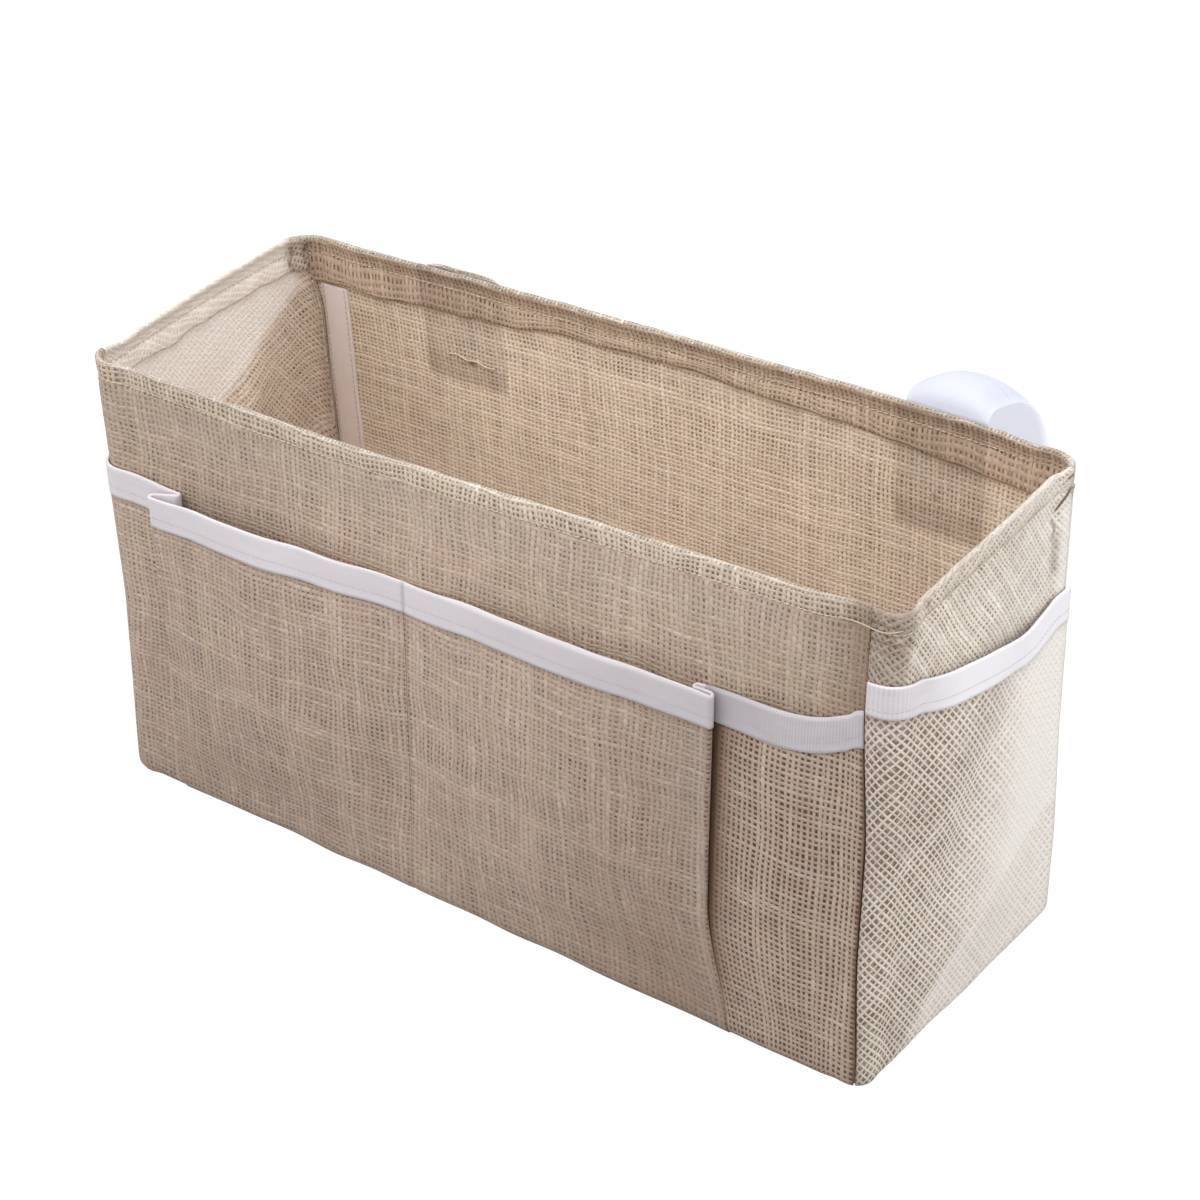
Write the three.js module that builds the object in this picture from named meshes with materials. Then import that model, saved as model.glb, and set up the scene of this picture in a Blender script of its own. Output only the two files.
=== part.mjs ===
import * as THREE from 'three';

// Bedside caddy: an open-top bin sewn from open linen mesh and held open by a wire ring in
// its rim hem, with white-banded pockets outside the front and both ends, and two white
// hook-and-loop straps behind that go round a bed rail. Millimetres, +Z up. The front faces
// -Y, and the origin is the middle of the base. The wire ring sits a little turned on the
// base, as the soft walls let it, so every outline turns steadily from the base to the rim.

// Body
const height = 250;
const baseLength = 449;
const baseDepth = 169;
const lengthTaper = 2;
const depthTaper = 6;
const rimCorner = 22;
const baseCorner = 16;
const baseEdge = 8;
const rimTurnDegrees = 3.3;
const seamShare = 0.3;
const clothThickness = 1;
const clearance = 0.35;

// Rim hem and its wire
const wireRadius = 1.25;
const wireClearance = 0.85;
const hemDepth = 15;
const hemStitchDrop = 9;
const hemLeafGap = 0.4;
const sleeveWall = 0.3;
const sleeveLength = 24;
const sleeveGap = 0.03;

// Base board, lining and seam tapes inside
const boardThickness = 2;
const bindingWidth = 17;
const bindingThickness = 0.8;
const footBindingTop = 14.5;

// Front pocket
const pocketCloth = 0.8;
const bandHeight = 17.5;
const bandLeaf = 0.6;
const frontMouthDrop = 65;
const rightMouthRise = 14;
const leftMouthRise = 5;
const dividerPlace = -38;
const leftPleatInset = 25;
const rightPleatInset = 72;
const rightPleatFootInset = 60;
const pleatDepth = 13;
const pleatStep = 3.1;
const pleatFootStep = 1.6;
const frontBulge = 6;
const underBulge = 4;
const bulgePeakShare = 0.6;
const pocketFootShare = 0.68;

// End pockets
const endMouthFrontDrop = 37;
const endMouthBackDrop = 69;
const endBulge = 8;

// Straps
const strapWidth = 43;
const strapThickness = 1.8;
const hookThickness = 2.8;
const hookStart = 5;
const anchorHeight = 44;
const patchHeight = 64;
const patchThickness = 1;
const patchMargin = 2.5;
const loopTapeThickness = 1.2;
const strapGap = 0.5;
const leftPlace = -120;
const leftAnchorDrop = 14;
const leftReach = 22;
const leftRise = 5;
const leftDrop = 112;
const rightPlace = 155;
const rightAnchorDrop = 2;
const rightReach = 75;
const rightRise = 9.9;
const rightDrop = 104;
// Centre line of a strap loop above its anchor: share of its reach behind the wall, then
// share of its rise where that is positive, or of its drop where it is negative
const loopShares = [
  [0, 0], [0.01, 0.6], [0.07, 1], [0.19, 0.85], [0.45, 0.06], [0.69, -0.115], [0.86, -0.29],
  [0.985, -0.54], [0.955, -0.79], [0.67, -0.98], [0.28, -1], [0.045, -0.87], [0, -0.68],
];
const topPoint = 2;
const peelPoint = 5;
const straps = [
  {
    name: 'left', place: leftPlace, anchorDrop: leftAnchorDrop,
    reach: leftReach, rise: leftRise, drop: leftDrop,
  },
  {
    name: 'right', place: rightPlace, anchorDrop: rightAnchorDrop,
    reach: rightReach, rise: rightRise, drop: rightDrop,
  },
];

// Facet counts
const arcSteps = 5;
const edgeSteps = 4;
const wireSides = 12;
const foldSteps = 5;
const wallSteps = 4;
const wallRows = 3;
const bindingSteps = 4;
const cornerSteps = 3;
const flatSteps = 2;
const swellSteps = 7;
const underSteps = 5;
const endPocketSteps = 8;
const pocketRows = 8;
const patchSteps = 3;
const loopSteps = 4;

const quarterTurn = Math.PI / 2;
const rimTurn = THREE.MathUtils.degToRad(rimTurnDegrees);
const edgeRise = baseEdge * quarterTurn;
const frontMouth = height - frontMouthDrop;
const endMouthFront = height - endMouthFrontDrop;
const endMouthBack = height - endMouthBackDrop;
const hemFoot = height - hemDepth;
const bandThickness = pocketCloth + 2 * (bandLeaf + clearance);
const pocketStandoff = clearance + bandThickness / 2;

const mix = THREE.MathUtils.lerp;
const clamp = THREE.MathUtils.clamp;
const ease = (share) => THREE.MathUtils.smoothstep(share, 0, 1);
const series = (count) => Array.from({ length: count + 1 }, (_, i) => i / count);

const linen = new THREE.MeshStandardMaterial({ color: 0xc3ab8e, roughness: 0.95, metalness: 0 });
const pocketLinen = new THREE.MeshStandardMaterial({ color: 0xbfa88f, roughness: 0.95, metalness: 0 });
const whiteBand = new THREE.MeshStandardMaterial({ color: 0xe4e4ea, roughness: 0.8, metalness: 0 });
const whiteTape = new THREE.MeshStandardMaterial({ color: 0xebecf4, roughness: 0.7, metalness: 0 });
const board = new THREE.MeshStandardMaterial({ color: 0xd9d6cf, roughness: 0.6, metalness: 0 });
const steel = new THREE.MeshStandardMaterial({ color: 0x9b9ca0, roughness: 0.35, metalness: 1 });

const caddy = new THREE.Group();

function addPiece(name, geometry, material, parent = caddy) {
  const mesh = new THREE.Mesh(geometry, material);
  mesh.name = name;
  parent.add(mesh);
  return mesh;
}

// Half sizes, corner radius and turn of the body's outline at a level above the base
function outlineAt(level) {
  const share = level / height;
  return {
    half: [(baseLength - lengthTaper * share) / 2, (baseDepth - depthTaper * share) / 2],
    corner: mix(baseCorner, rimCorner, share),
    turn: rimTurn * share,
  };
}

// Sides are numbered 0 front, 1 right end, 2 back and 3 left end. A place along a side is
// measured from its middle, anticlockwise seen from above, and runs on round the corners.
function straightHalf(side, level) {
  const { half, corner } = outlineAt(level);
  return half[side % 2] - corner;
}

function planPoint(side, along, level, out) {
  const { half, corner, turn } = outlineAt(level);
  const straight = straightHalf(side, level);
  const bend = Math.sign(along) * Math.max(Math.abs(along) - straight, 0) / corner;
  const face = half[(side + 1) % 2] - corner;
  const x = clamp(along, -straight, straight) + (corner + out) * Math.sin(bend);
  const y = -face - (corner + out) * Math.cos(bend);
  return new THREE.Vector2(x, y).rotateAround(new THREE.Vector2(), quarterTurn * side + turn);
}

// A place on the wall: rise is measured up the cloth from the underside, round the soft
// lower edge, and out is the distance in front of the wall's outer face
function wallPoint(side, along, rise, out) {
  const bend = Math.min(rise / baseEdge, quarterTurn);
  const above = Math.max(rise - edgeRise, 0);
  const level = baseEdge * (1 - Math.cos(bend)) + above;
  const inset = (baseEdge + out) * Math.sin(bend) - baseEdge;
  const plan = planPoint(side, along, level, inset);
  return new THREE.Vector3(plan.x, plan.y, baseEdge - (baseEdge + out) * Math.cos(bend) + above);
}

const riseTo = (level) => level - baseEdge + edgeRise;

function levelAt(rise) {
  return baseEdge * (1 - Math.cos(Math.min(rise / baseEdge, quarterTurn))) + Math.max(rise - edgeRise, 0);
}

// The corner seams lie a little round the corner from the front and from the back
function seamBend(side) {
  return quarterTurn * (side % 2 ? 1 - seamShare : seamShare);
}

function seamAlong(side, level) {
  return straightHalf(side, level) + outlineAt(level).corner * seamBend(side);
}

// A station is a share of a side's straight half and an angle round the corner past it
function alongStation({ side, straightShare, bend }, level) {
  return straightShare * straightHalf(side, level) + bend * outlineAt(level).corner;
}

function sideStations(side, bendLimit, straightSteps) {
  const bends = series(arcSteps).slice(1).map((share) => share * bendLimit);
  return [
    ...[...bends].reverse().map((bend) => ({ side, straightShare: -1, bend: -bend })),
    ...series(straightSteps).map((share) => ({ side, straightShare: 2 * share - 1, bend: 0 })),
    ...bends.map((bend) => ({ side, straightShare: 1, bend })),
  ];
}

function seamStations(side, straightSteps) {
  return sideStations(side, seamBend(side) - clearance / (2 * rimCorner), straightSteps);
}

function ringStations(straightSteps) {
  return [0, 1, 2, 3].flatMap((side) => sideStations(side, quarterTurn / 2, straightSteps).slice(1));
}

// Closed body from points and faces, its faces turned outwards
function closedBody(points, faces) {
  const geometry = new THREE.BufferGeometry();
  geometry.setAttribute('position', new THREE.Float32BufferAttribute(points.flatMap((p) => p.toArray()), 3));
  let volume = 0;
  for (let i = 0; i < faces.length; i += 3) {
    const [a, b, c] = faces.slice(i, i + 3).map((index) => points[index]);
    volume += a.dot(b.clone().cross(c));
  }
  geometry.setIndex(volume < 0 ? faces.reverse() : faces);
  geometry.computeVertexNormals();
  return geometry;
}

// Body between an outer skin, layer 1, and an inner one, layer 0. With ring the columns
// close on themselves, and otherwise the ends are closed like the other edges.
function skinned(columns, rows, pointAt, ring = false) {
  const points = [];
  const faces = [];
  const quad = (a, b, c, d) => faces.push(a, b, c, a, c, d);
  const at = (i, j, layer) => (layer * rows + j) * columns + (i % columns);
  for (const layer of [0, 1]) {
    for (let j = 0; j < rows; j += 1) {
      for (let i = 0; i < columns; i += 1) points.push(pointAt(i, j, layer));
    }
  }
  const top = rows - 1;
  const end = columns - 1;
  for (let i = 0; i < (ring ? columns : end); i += 1) {
    for (let j = 0; j < top; j += 1) {
      quad(at(i, j, 1), at(i + 1, j, 1), at(i + 1, j + 1, 1), at(i, j + 1, 1));
      quad(at(i, j, 0), at(i, j + 1, 0), at(i + 1, j + 1, 0), at(i + 1, j, 0));
    }
    quad(at(i, 0, 0), at(i + 1, 0, 0), at(i + 1, 0, 1), at(i, 0, 1));
    quad(at(i, top, 1), at(i + 1, top, 1), at(i + 1, top, 0), at(i, top, 0));
  }
  for (let j = 0; j < top && !ring; j += 1) {
    quad(at(0, j, 0), at(0, j, 1), at(0, j + 1, 1), at(0, j + 1, 0));
    quad(at(end, j, 1), at(end, j, 0), at(end, j + 1, 0), at(end, j + 1, 1));
  }
  return closedBody(points, faces);
}

// Body of a closed profile carried through count stations, with its ends closed
function swept(profile, count, placeAt, ring = false) {
  const points = [];
  const faces = [];
  const size = profile.length;
  for (let s = 0; s < count; s += 1) profile.forEach((p) => points.push(placeAt(p, s)));
  for (let s = 0; s < (ring ? count : count - 1); s += 1) {
    const here = s * size;
    const next = ((s + 1) % count) * size;
    for (let i = 0; i < size; i += 1) {
      const j = (i + 1) % size;
      faces.push(here + i, next + i, next + j, here + i, next + j, here + j);
    }
  }
  if (!ring) {
    const last = (count - 1) * size;
    const turned = THREE.ShapeUtils.isClockWise(profile) ? 1 : -1;
    for (const cap of THREE.ShapeUtils.triangulateShape(profile, [])) {
      const [a, b, c] = turned > 0 ? cap : [...cap].reverse();
      faces.push(c, b, a, last + a, last + b, last + c);
    }
  }
  return closedBody(points, faces);
}

// Plate with the body's outline, set in from the base outline, between two levels
function basePlate(inset, low, high) {
  const outline = ringStations(1).map((s) => planPoint(s.side, alongStation(s, 0), 0, -inset));
  const shape = new THREE.Shape(outline);
  const plate = new THREE.ExtrudeGeometry(shape, { depth: high - low, bevelEnabled: false });
  return plate.translate(0, 0, low);
}

const sideNames = ['front', 'right_end', 'back', 'left_end'];
const hemNames = ['front_hem', 'right_hem', 'back_hem', 'left_hem'];

// Wall panels, one layer of mesh each, from under the soft lower edge to the hem
function addWalls() {
  const rises = [
    ...series(edgeSteps).map((share) => share * edgeRise),
    ...series(wallRows).slice(1).map((share) => mix(edgeRise, riseTo(hemFoot), share)),
  ];
  sideNames.forEach((name, side) => {
    const stations = seamStations(side, wallSteps);
    const pointAt = (i, j, layer) => {
      const along = alongStation(stations[i], levelAt(rises[j]));
      return wallPoint(side, along, rises[j], layer ? 0 : -clothThickness);
    };
    addPiece(`${name}_panel`, skinned(stations.length, rises.length, pointAt), linen);
  });
}

// Hem section: out of the wall face against height, a strip folded inwards over the wire
const foldRadius = wireRadius + wireClearance + clothThickness / 2;
const wireOut = -clothThickness / 2 - foldRadius;
const wireLevel = height - foldRadius - clothThickness / 2;

function hemProfile() {
  const outerLeaf = -clothThickness / 2;
  const innerLeaf = outerLeaf - clothThickness - hemLeafGap;
  const fold = series(2 * arcSteps).map((share) => new THREE.Vector2(
    wireOut + foldRadius * Math.cos(share * Math.PI),
    wireLevel + foldRadius * Math.sin(share * Math.PI),
  ));
  const centre = [
    new THREE.Vector2(outerLeaf, hemFoot + clearance),
    ...fold,
    new THREE.Vector2(innerLeaf, height - hemStitchDrop),
    new THREE.Vector2(innerLeaf, hemFoot + clothThickness),
  ];
  return ribbonOutline(centre, clothThickness / 2);
}

// Outline of a strip whose centre line and half thickness are given
function ribbonOutline(centre, halfThickness) {
  const shifted = (sign) => centre.map((p, i) => {
    const before = centre[Math.max(i - 1, 0)];
    const after = centre[Math.min(i + 1, centre.length - 1)];
    const run = after.clone().sub(before).normalize();
    return new THREE.Vector2(p.x - sign * run.y * halfThickness, p.y + sign * run.x * halfThickness);
  });
  return [...shifted(1), ...shifted(-1).reverse()];
}

function addHems() {
  const profile = hemProfile();
  hemNames.forEach((name, side) => {
    const stations = seamStations(side, wallSteps);
    const placeAt = (p, s) => {
      const plan = planPoint(side, alongStation(stations[s], p.y), p.y, p.x);
      return new THREE.Vector3(plan.x, plan.y, p.y);
    };
    addPiece(name, swept(profile, stations.length, placeAt), linen);
  });
}

function circle(radius) {
  return series(wireSides).slice(1).map((share) => new THREE.Vector2(
    radius * Math.cos(share * 2 * Math.PI),
    radius * Math.sin(share * 2 * Math.PI),
  ));
}

// The wire is one ring, its ends joined in a crimped sleeve in the middle of the back hem
function addWire() {
  const stations = ringStations(2);
  const wirePlace = (p, s) => {
    const station = stations[s];
    const plan = planPoint(station.side, alongStation(station, wireLevel), wireLevel, wireOut + p.x);
    return new THREE.Vector3(plan.x, plan.y, wireLevel + p.y);
  };
  addPiece('rim_wire', swept(circle(wireRadius), stations.length, wirePlace, true), steel);

  const inner = wireRadius / Math.cos(Math.PI / wireSides) + sleeveGap;
  const outer = inner + sleeveWall;
  const sleevePoint = (i, j, layer) => {
    const angle = (i / wireSides) * 2 * Math.PI;
    const radius = layer ? outer : inner;
    const along = (j - 0.5) * sleeveLength;
    const plan = planPoint(2, along, wireLevel, wireOut + radius * Math.cos(angle));
    return new THREE.Vector3(plan.x, plan.y, wireLevel + radius * Math.sin(angle));
  };
  addPiece('wire_sleeve', skinned(wireSides, 2, sleevePoint, true), steel);
}

const boardLow = clothThickness + clearance;
const boardHigh = boardLow + boardThickness;
const liningHigh = boardHigh + clearance + clothThickness;

function addBase() {
  const inset = baseEdge + clearance;
  addPiece('bottom_panel', basePlate(inset, 0, clothThickness), linen);
  addPiece('base_board', basePlate(inset, boardLow, boardHigh), board);
  addPiece('bottom_lining', basePlate(inset, boardHigh + clearance, liningHigh), linen);
}

// Seam tapes inside: one upright beside each corner seam and one round the foot of the walls
function addBindings() {
  const face = -clothThickness - clearance;
  const tapeOut = (layer) => (layer ? face : face - bindingThickness);
  const ring = ringStations(1);
  const ringPoint = (i, j, layer) => {
    const rise = riseTo(mix(baseEdge, footBindingTop, j));
    return wallPoint(ring[i].side, alongStation(ring[i], levelAt(rise)), rise, tapeOut(layer));
  };
  addPiece('base_seam_binding', skinned(ring.length, 2, ringPoint, true), whiteTape);

  const corners = [['front_left', 0, -1], ['front_right', 0, 1], ['back_right', 1, 1], ['back_left', 2, 1]];
  for (const [name, side, end] of corners) {
    const low = footBindingTop + clearance;
    const high = hemFoot - clearance;
    const pointAt = (i, j, layer) => {
      const level = mix(low, high, j / bindingSteps);
      const share = (end > 0 ? bindingSteps - i : i) / bindingSteps;
      const along = end * (seamAlong(side, level) - share * bindingWidth);
      return wallPoint(side, along, riseTo(level), tapeOut(layer));
    };
    const geometry = skinned(bindingSteps + 1, bindingSteps + 1, pointAt);
    addPiece(`corner_binding_${name}`, geometry, whiteTape);
  }
}

// Band folded over a pocket's mouth, as a section: across its thickness against height
// below the mouth
function bandProfile() {
  const face = bandThickness / 2;
  return [
    [face, -bandHeight], [face, 0], [-face, 0], [-face, -bandHeight],
    [bandLeaf - face, -bandHeight], [bandLeaf - face, -bandLeaf],
    [face - bandLeaf, -bandLeaf], [face - bandLeaf, -bandHeight],
  ].map(([x, y]) => new THREE.Vector2(x, y));
}

// How far a pocket swells at a share of its height: nothing at the foot, most near the mouth
const swell = (share) => Math.sin(clamp(share / bulgePeakShare, 0, 2) * quarterTurn);

function frontMouthAt(along) {
  const seam = seamAlong(0, frontMouth);
  const right = ease((along - seam + rightPleatInset) / rightPleatInset);
  const left = ease((leftPleatInset - along - seam) / leftPleatInset);
  return frontMouth + rightMouthRise * right + leftMouthRise * left;
}

// The front pocket in plan at a level, from the left seam to the right one: flat on the wall,
// a knife pleat, a swelling run to the divider seam and another on, a second knife pleat, and
// a last run to the seam. Points are (along, out).
function frontPocketPath(level) {
  const share = level / frontMouth;
  const seam = seamAlong(0, level) - clearance / 2;
  const near = pocketStandoff;
  const step = mix(pleatFootStep, pleatStep, share);
  const bulge = frontBulge * swell(share);
  const leftOuter = leftPleatInset - seam;
  const leftInner = leftOuter + pleatDepth;
  const rightOuter = seam - mix(rightPleatFootInset, rightPleatInset, ease(2 * share));
  const rightInner = rightOuter - pleatDepth;
  const point = (along, out) => new THREE.Vector2(along, out);
  const run = (from, to, steps, outAt) => series(steps).map((s) => point(mix(from, to, s), outAt(s)));
  const fold = (along, out, way, turn) => series(foldSteps).slice(1, -1).map((s) => point(
    along + way * step / 2 * Math.sin(s * Math.PI),
    out - turn * step / 2 * Math.cos(s * Math.PI),
  ));
  const straight = straightHalf(0, level);
  const middle = near + step;
  const outer = middle + step;
  const lowFold = near + step / 2;
  const highFold = middle + step / 2;
  const outerRun = (s) => mix(outer, near, s) + bulge * Math.sin(s * Math.PI);
  const underRun = (s) => near + underBulge * swell(share) * Math.sin(s * Math.PI);
  return [
    ...run(-seam, -straight, cornerSteps, () => near),
    ...run(-straight, leftInner, flatSteps, () => near).slice(1),
    ...fold(leftInner, lowFold, 1, 1),
    ...run(leftInner, leftOuter, 1, () => middle),
    ...fold(leftOuter, highFold, -1, 1),
    ...run(leftOuter, dividerPlace, swellSteps, outerRun),
    ...run(dividerPlace, rightOuter, swellSteps, (s) => outerRun(1 - s)).slice(1),
    ...fold(rightOuter, highFold, 1, -1),
    ...run(rightOuter, rightInner, 1, () => middle),
    ...fold(rightInner, lowFold, -1, -1),
    ...run(rightInner, rightOuter, 1, () => near),
    ...run(rightOuter, straight, underSteps, underRun).slice(1),
    ...run(straight, seam, cornerSteps, () => near).slice(1),
  ];
}

// An end pocket in plan at a level, from seam to seam round both corners
function endPocketPath(side, level) {
  const bulge = endBulge * swell(level / endMouthFront);
  const straight = straightHalf(side, level);
  const limit = seamAlong(side, level) - clearance / 2;
  return seamStations(side, endPocketSteps).map((station) => {
    const along = clamp(alongStation(station, level), -limit, limit);
    const out = bulge * Math.max(Math.cos((along / straight) * quarterTurn), 0);
    return new THREE.Vector2(along, pocketStandoff + (Math.abs(along) < straight ? out : 0));
  });
}

function endMouthAt(side, along) {
  const backward = side === 1 ? along : -along;
  const seam = seamAlong(side, endMouthBack);
  return mix(endMouthFront, endMouthBack, clamp((backward / seam + 1) / 2, 0, 1));
}

// Direction across a plan path, away from the wall
function acrossPath(path, i) {
  const before = path[Math.max(i - 1, 0)];
  const after = path[Math.min(i + 1, path.length - 1)];
  const run = after.clone().sub(before).normalize();
  return new THREE.Vector2(-run.y, run.x);
}

// A pocket's cloth and the band over its mouth, both on the same plan path. The cloth has a
// row at the band's foot and one just under its fold, so that the two stay a gap apart.
function addPocket(name, side, pathAt, mouthAt) {
  const mouths = pathAt(frontMouth).map((p) => mouthAt(p.x));
  const riseOf = (i, j) => {
    if (j === 0) return edgeRise * pocketFootShare;
    if (j === pocketRows) return riseTo(mouths[i] - bandLeaf - clearance);
    return mix(edgeRise, riseTo(mouths[i] - bandHeight), (j - 1) / (pocketRows - 2));
  };

  const clothPoint = (i, j, layer) => {
    const path = pathAt(levelAt(riseOf(i, j)));
    const across = acrossPath(path, i).multiplyScalar((layer - 0.5) * pocketCloth);
    return wallPoint(side, path[i].x + across.x, riseOf(i, j), path[i].y + across.y);
  };
  addPiece(`${name}_pocket`, skinned(mouths.length, pocketRows + 1, clothPoint), pocketLinen);

  const bandPlace = (p, i) => {
    const level = mouths[i] + p.y;
    const path = pathAt(level);
    const across = acrossPath(path, i).multiplyScalar(p.x);
    return wallPoint(side, path[i].x + across.x, riseTo(level), path[i].y + across.y);
  };
  addPiece(`${name}_pocket_band`, swept(bandProfile(), mouths.length, bandPlace), whiteBand);
}

function addPockets() {
  addPocket('front', 0, frontPocketPath, frontMouthAt);
  addPocket('right_end', 1, (level) => endPocketPath(1, level), (along) => endMouthAt(1, along));
  addPocket('left_end', 3, (level) => endPocketPath(3, level), (along) => endMouthAt(3, along));
}

const rootDepth = clearance + patchThickness + strapGap + strapThickness / 2;
const tailDepth = clearance + loopTapeThickness + strapGap + hookThickness + clearance + strapThickness / 2;

// Centre line of a strap loop in its own frame: behind the wall against height above the
// anchor's top
function loopCurve({ reach, rise, drop }) {
  const last = loopShares.length - 1;
  return new THREE.SplineCurve(loopShares.map(([across, lift], i) => {
    const near = mix(rootDepth, tailDepth, i / last);
    return new THREE.Vector2(mix(near, reach, across), lift * (lift > 0 ? rise : drop));
  }));
}

function loopRows(curve, from, to) {
  const steps = Math.round((to - from) * (loopShares.length - 1) * loopSteps);
  return series(steps).map((share) => {
    const t = mix(from, to, share);
    return { place: curve.getPoint(t), outward: outwardAt(curve, t) };
  });
}

function outwardAt(curve, t) {
  const run = curve.getTangent(t);
  return new THREE.Vector2(-run.y, run.x);
}

// Tape of the strap's width along rows of the loop, between two distances to its outer side
function tapeAlong(rows, low, high, pivot) {
  const pointAt = (i, j, layer) => {
    const { place, outward } = rows[j];
    const spot = place.clone().addScaledVector(outward, layer ? high : low).sub(pivot);
    return new THREE.Vector3((i - 0.5) * strapWidth, spot.x, spot.y);
  };
  return skinned(2, rows.length, pointAt);
}

// Linen patch on the back wall, with a place behind the wall's outer face
function backPatch(place, width, low, high, from, to) {
  const pointAt = (i, j, layer) => {
    const along = -place + (i / patchSteps - 0.5) * width;
    return wallPoint(2, along, riseTo(mix(low, high, j / patchSteps)), layer ? to : from);
  };
  return skinned(patchSteps + 1, patchSteps + 1, pointAt);
}

function addStrap(strap) {
  const { name, place, anchorDrop, drop } = strap;
  const anchorTop = height - anchorDrop;
  const patchWidth = strapWidth + 2 * patchMargin;
  const patchOut = clearance + patchThickness;
  const patch = backPatch(place, patchWidth, height - patchHeight, height, clearance, patchOut);
  addPiece(`${name}_strap_patch`, patch, linen);

  const tapeLow = anchorTop + loopShares.at(-2)[1] * drop;
  const tapeHigh = anchorTop + loopShares.at(-1)[1] * drop;
  const loopTape = backPatch(place, strapWidth, tapeLow, tapeHigh, clearance, clearance + loopTapeThickness);
  addPiece(`${name}_loop_tape`, loopTape, whiteTape);

  // The strap's own frame stands on the wall's outer face at the anchor's top and leans with
  // the wall there
  const foot = planPoint(2, -place, anchorTop - anchorHeight, 0);
  const head = planPoint(2, -place, anchorTop, 0);
  const { turn } = outlineAt(anchorTop - anchorHeight / 2);
  const lean = head.clone().sub(foot).dot(new THREE.Vector2(-Math.sin(turn), Math.cos(turn)));
  const frame = new THREE.Group();
  frame.position.set(head.x, head.y, anchorTop);
  frame.rotation.set(-Math.atan2(lean, anchorHeight), 0, turn, 'ZYX');
  caddy.add(frame);

  // The anchored tape runs straight up the patch and on to the top of the loop. Each moving
  // piece has its origin on its hinge, on the tape's outer side, where it creases as it opens.
  const half = strapThickness / 2;
  const curve = loopCurve(strap);
  const gapShare = clearance / curve.getLength();
  const [top, peel] = [topPoint, peelPoint].map((point) => point / (loopShares.length - 1));
  const [topPivot, peelPivot] = [top, peel].map((t) => (
    curve.getPoint(t).addScaledVector(outwardAt(curve, t), half)));
  const anchorFoot = {
    place: new THREE.Vector2(rootDepth, -anchorHeight),
    outward: new THREE.Vector2(-1, 0),
  };
  const anchorHead = { ...anchorFoot, place: new THREE.Vector2(rootDepth, 0) };
  const anchorRows = [anchorFoot, anchorHead, ...loopRows(curve, 0, top - gapShare).slice(1)];
  const anchor = tapeAlong(anchorRows, -half, half, new THREE.Vector2());
  addPiece(`${name}_strap_anchor`, anchor, whiteTape, frame);

  const arch = new THREE.Group();
  arch.position.set(0, topPivot.x, topPivot.y);
  frame.add(arch);
  const archTape = tapeAlong(loopRows(curve, top, peel - gapShare), -half, half, topPivot);
  addPiece(`${name}_strap_arch`, archTape, whiteTape, arch);

  const tail = new THREE.Group();
  tail.position.set(0, peelPivot.x - topPivot.x, peelPivot.y - topPivot.y);
  arch.add(tail);
  const tailTape = tapeAlong(loopRows(curve, peel, 1), -half, half, peelPivot);
  addPiece(`${name}_strap_tail`, tailTape, whiteTape, tail);
  const hookRows = loopRows(curve, peel + hookStart / curve.getLength(), 1);
  const hookLow = half + clearance;
  const hook = tapeAlong(hookRows, hookLow, hookLow + hookThickness, peelPivot);
  addPiece(`${name}_hook_tape`, hook, whiteTape, tail);
}

addWalls();
addHems();
addWire();
addBase();
addBindings();
addPockets();
straps.forEach(addStrap);

export default caddy;
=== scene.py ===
"""Bedside caddy: an open-top bin of open linen mesh on a wire rim, with white-banded pockets
outside and two hook-and-loop straps behind. Sizes are millimetres until a mesh is made."""

import math
from collections import namedtuple
from functools import partial

import bmesh
import bpy
import numpy as np
from mathutils import Matrix, Vector


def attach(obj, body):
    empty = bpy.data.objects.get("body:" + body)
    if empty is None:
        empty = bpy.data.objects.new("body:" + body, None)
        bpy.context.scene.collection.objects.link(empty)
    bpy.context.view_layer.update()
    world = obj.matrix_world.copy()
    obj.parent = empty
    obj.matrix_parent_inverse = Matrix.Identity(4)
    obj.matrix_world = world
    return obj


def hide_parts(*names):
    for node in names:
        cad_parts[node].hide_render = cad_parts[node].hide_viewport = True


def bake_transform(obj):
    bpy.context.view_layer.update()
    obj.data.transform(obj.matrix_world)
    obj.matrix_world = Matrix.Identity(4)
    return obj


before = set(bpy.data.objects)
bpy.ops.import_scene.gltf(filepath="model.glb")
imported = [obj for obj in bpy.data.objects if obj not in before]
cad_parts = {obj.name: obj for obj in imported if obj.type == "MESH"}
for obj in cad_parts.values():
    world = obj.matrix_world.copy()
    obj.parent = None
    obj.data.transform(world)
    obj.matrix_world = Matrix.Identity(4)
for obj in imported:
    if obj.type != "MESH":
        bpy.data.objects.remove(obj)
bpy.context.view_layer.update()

bl_info = {
    "name": "Bedside caddy",
    "version": (1, 0, 0),
    "blender": (4, 5, 0),
    "location": "3D View > Sidebar > Caddy",
    "description": "Builds the bedside caddy's cloth, bands, tapes and stage",
    "category": "Add Mesh",
}

MM = 0.001
QUARTER = math.pi / 2
WAVES = 9

# Body, as in the solids
HEIGHT = 250
BASE_LENGTH = 449
BASE_DEPTH = 169
LENGTH_TAPER = 2
DEPTH_TAPER = 6
RIM_CORNER = 22
BASE_CORNER = 16
EDGE = 8
RIM_TURN = math.radians(3.3)
NEAR_SHARE = 0.3
WRAP_SHARE = 0.65
CLOTH = 0.8
EDGE_RISE = EDGE * QUARTER
BINDING_WIDTH = 17
BINDING_INSET = 1.2
BINDING_STITCH = 1.6
TAPE_THICKNESS = 0.6
FOOT_TAPE_TOP = 14.5
FRONT, RIGHT, BACK, LEFT = range(4)
SIDE_NAMES = ("front", "right_end", "back", "left_end")

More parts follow.
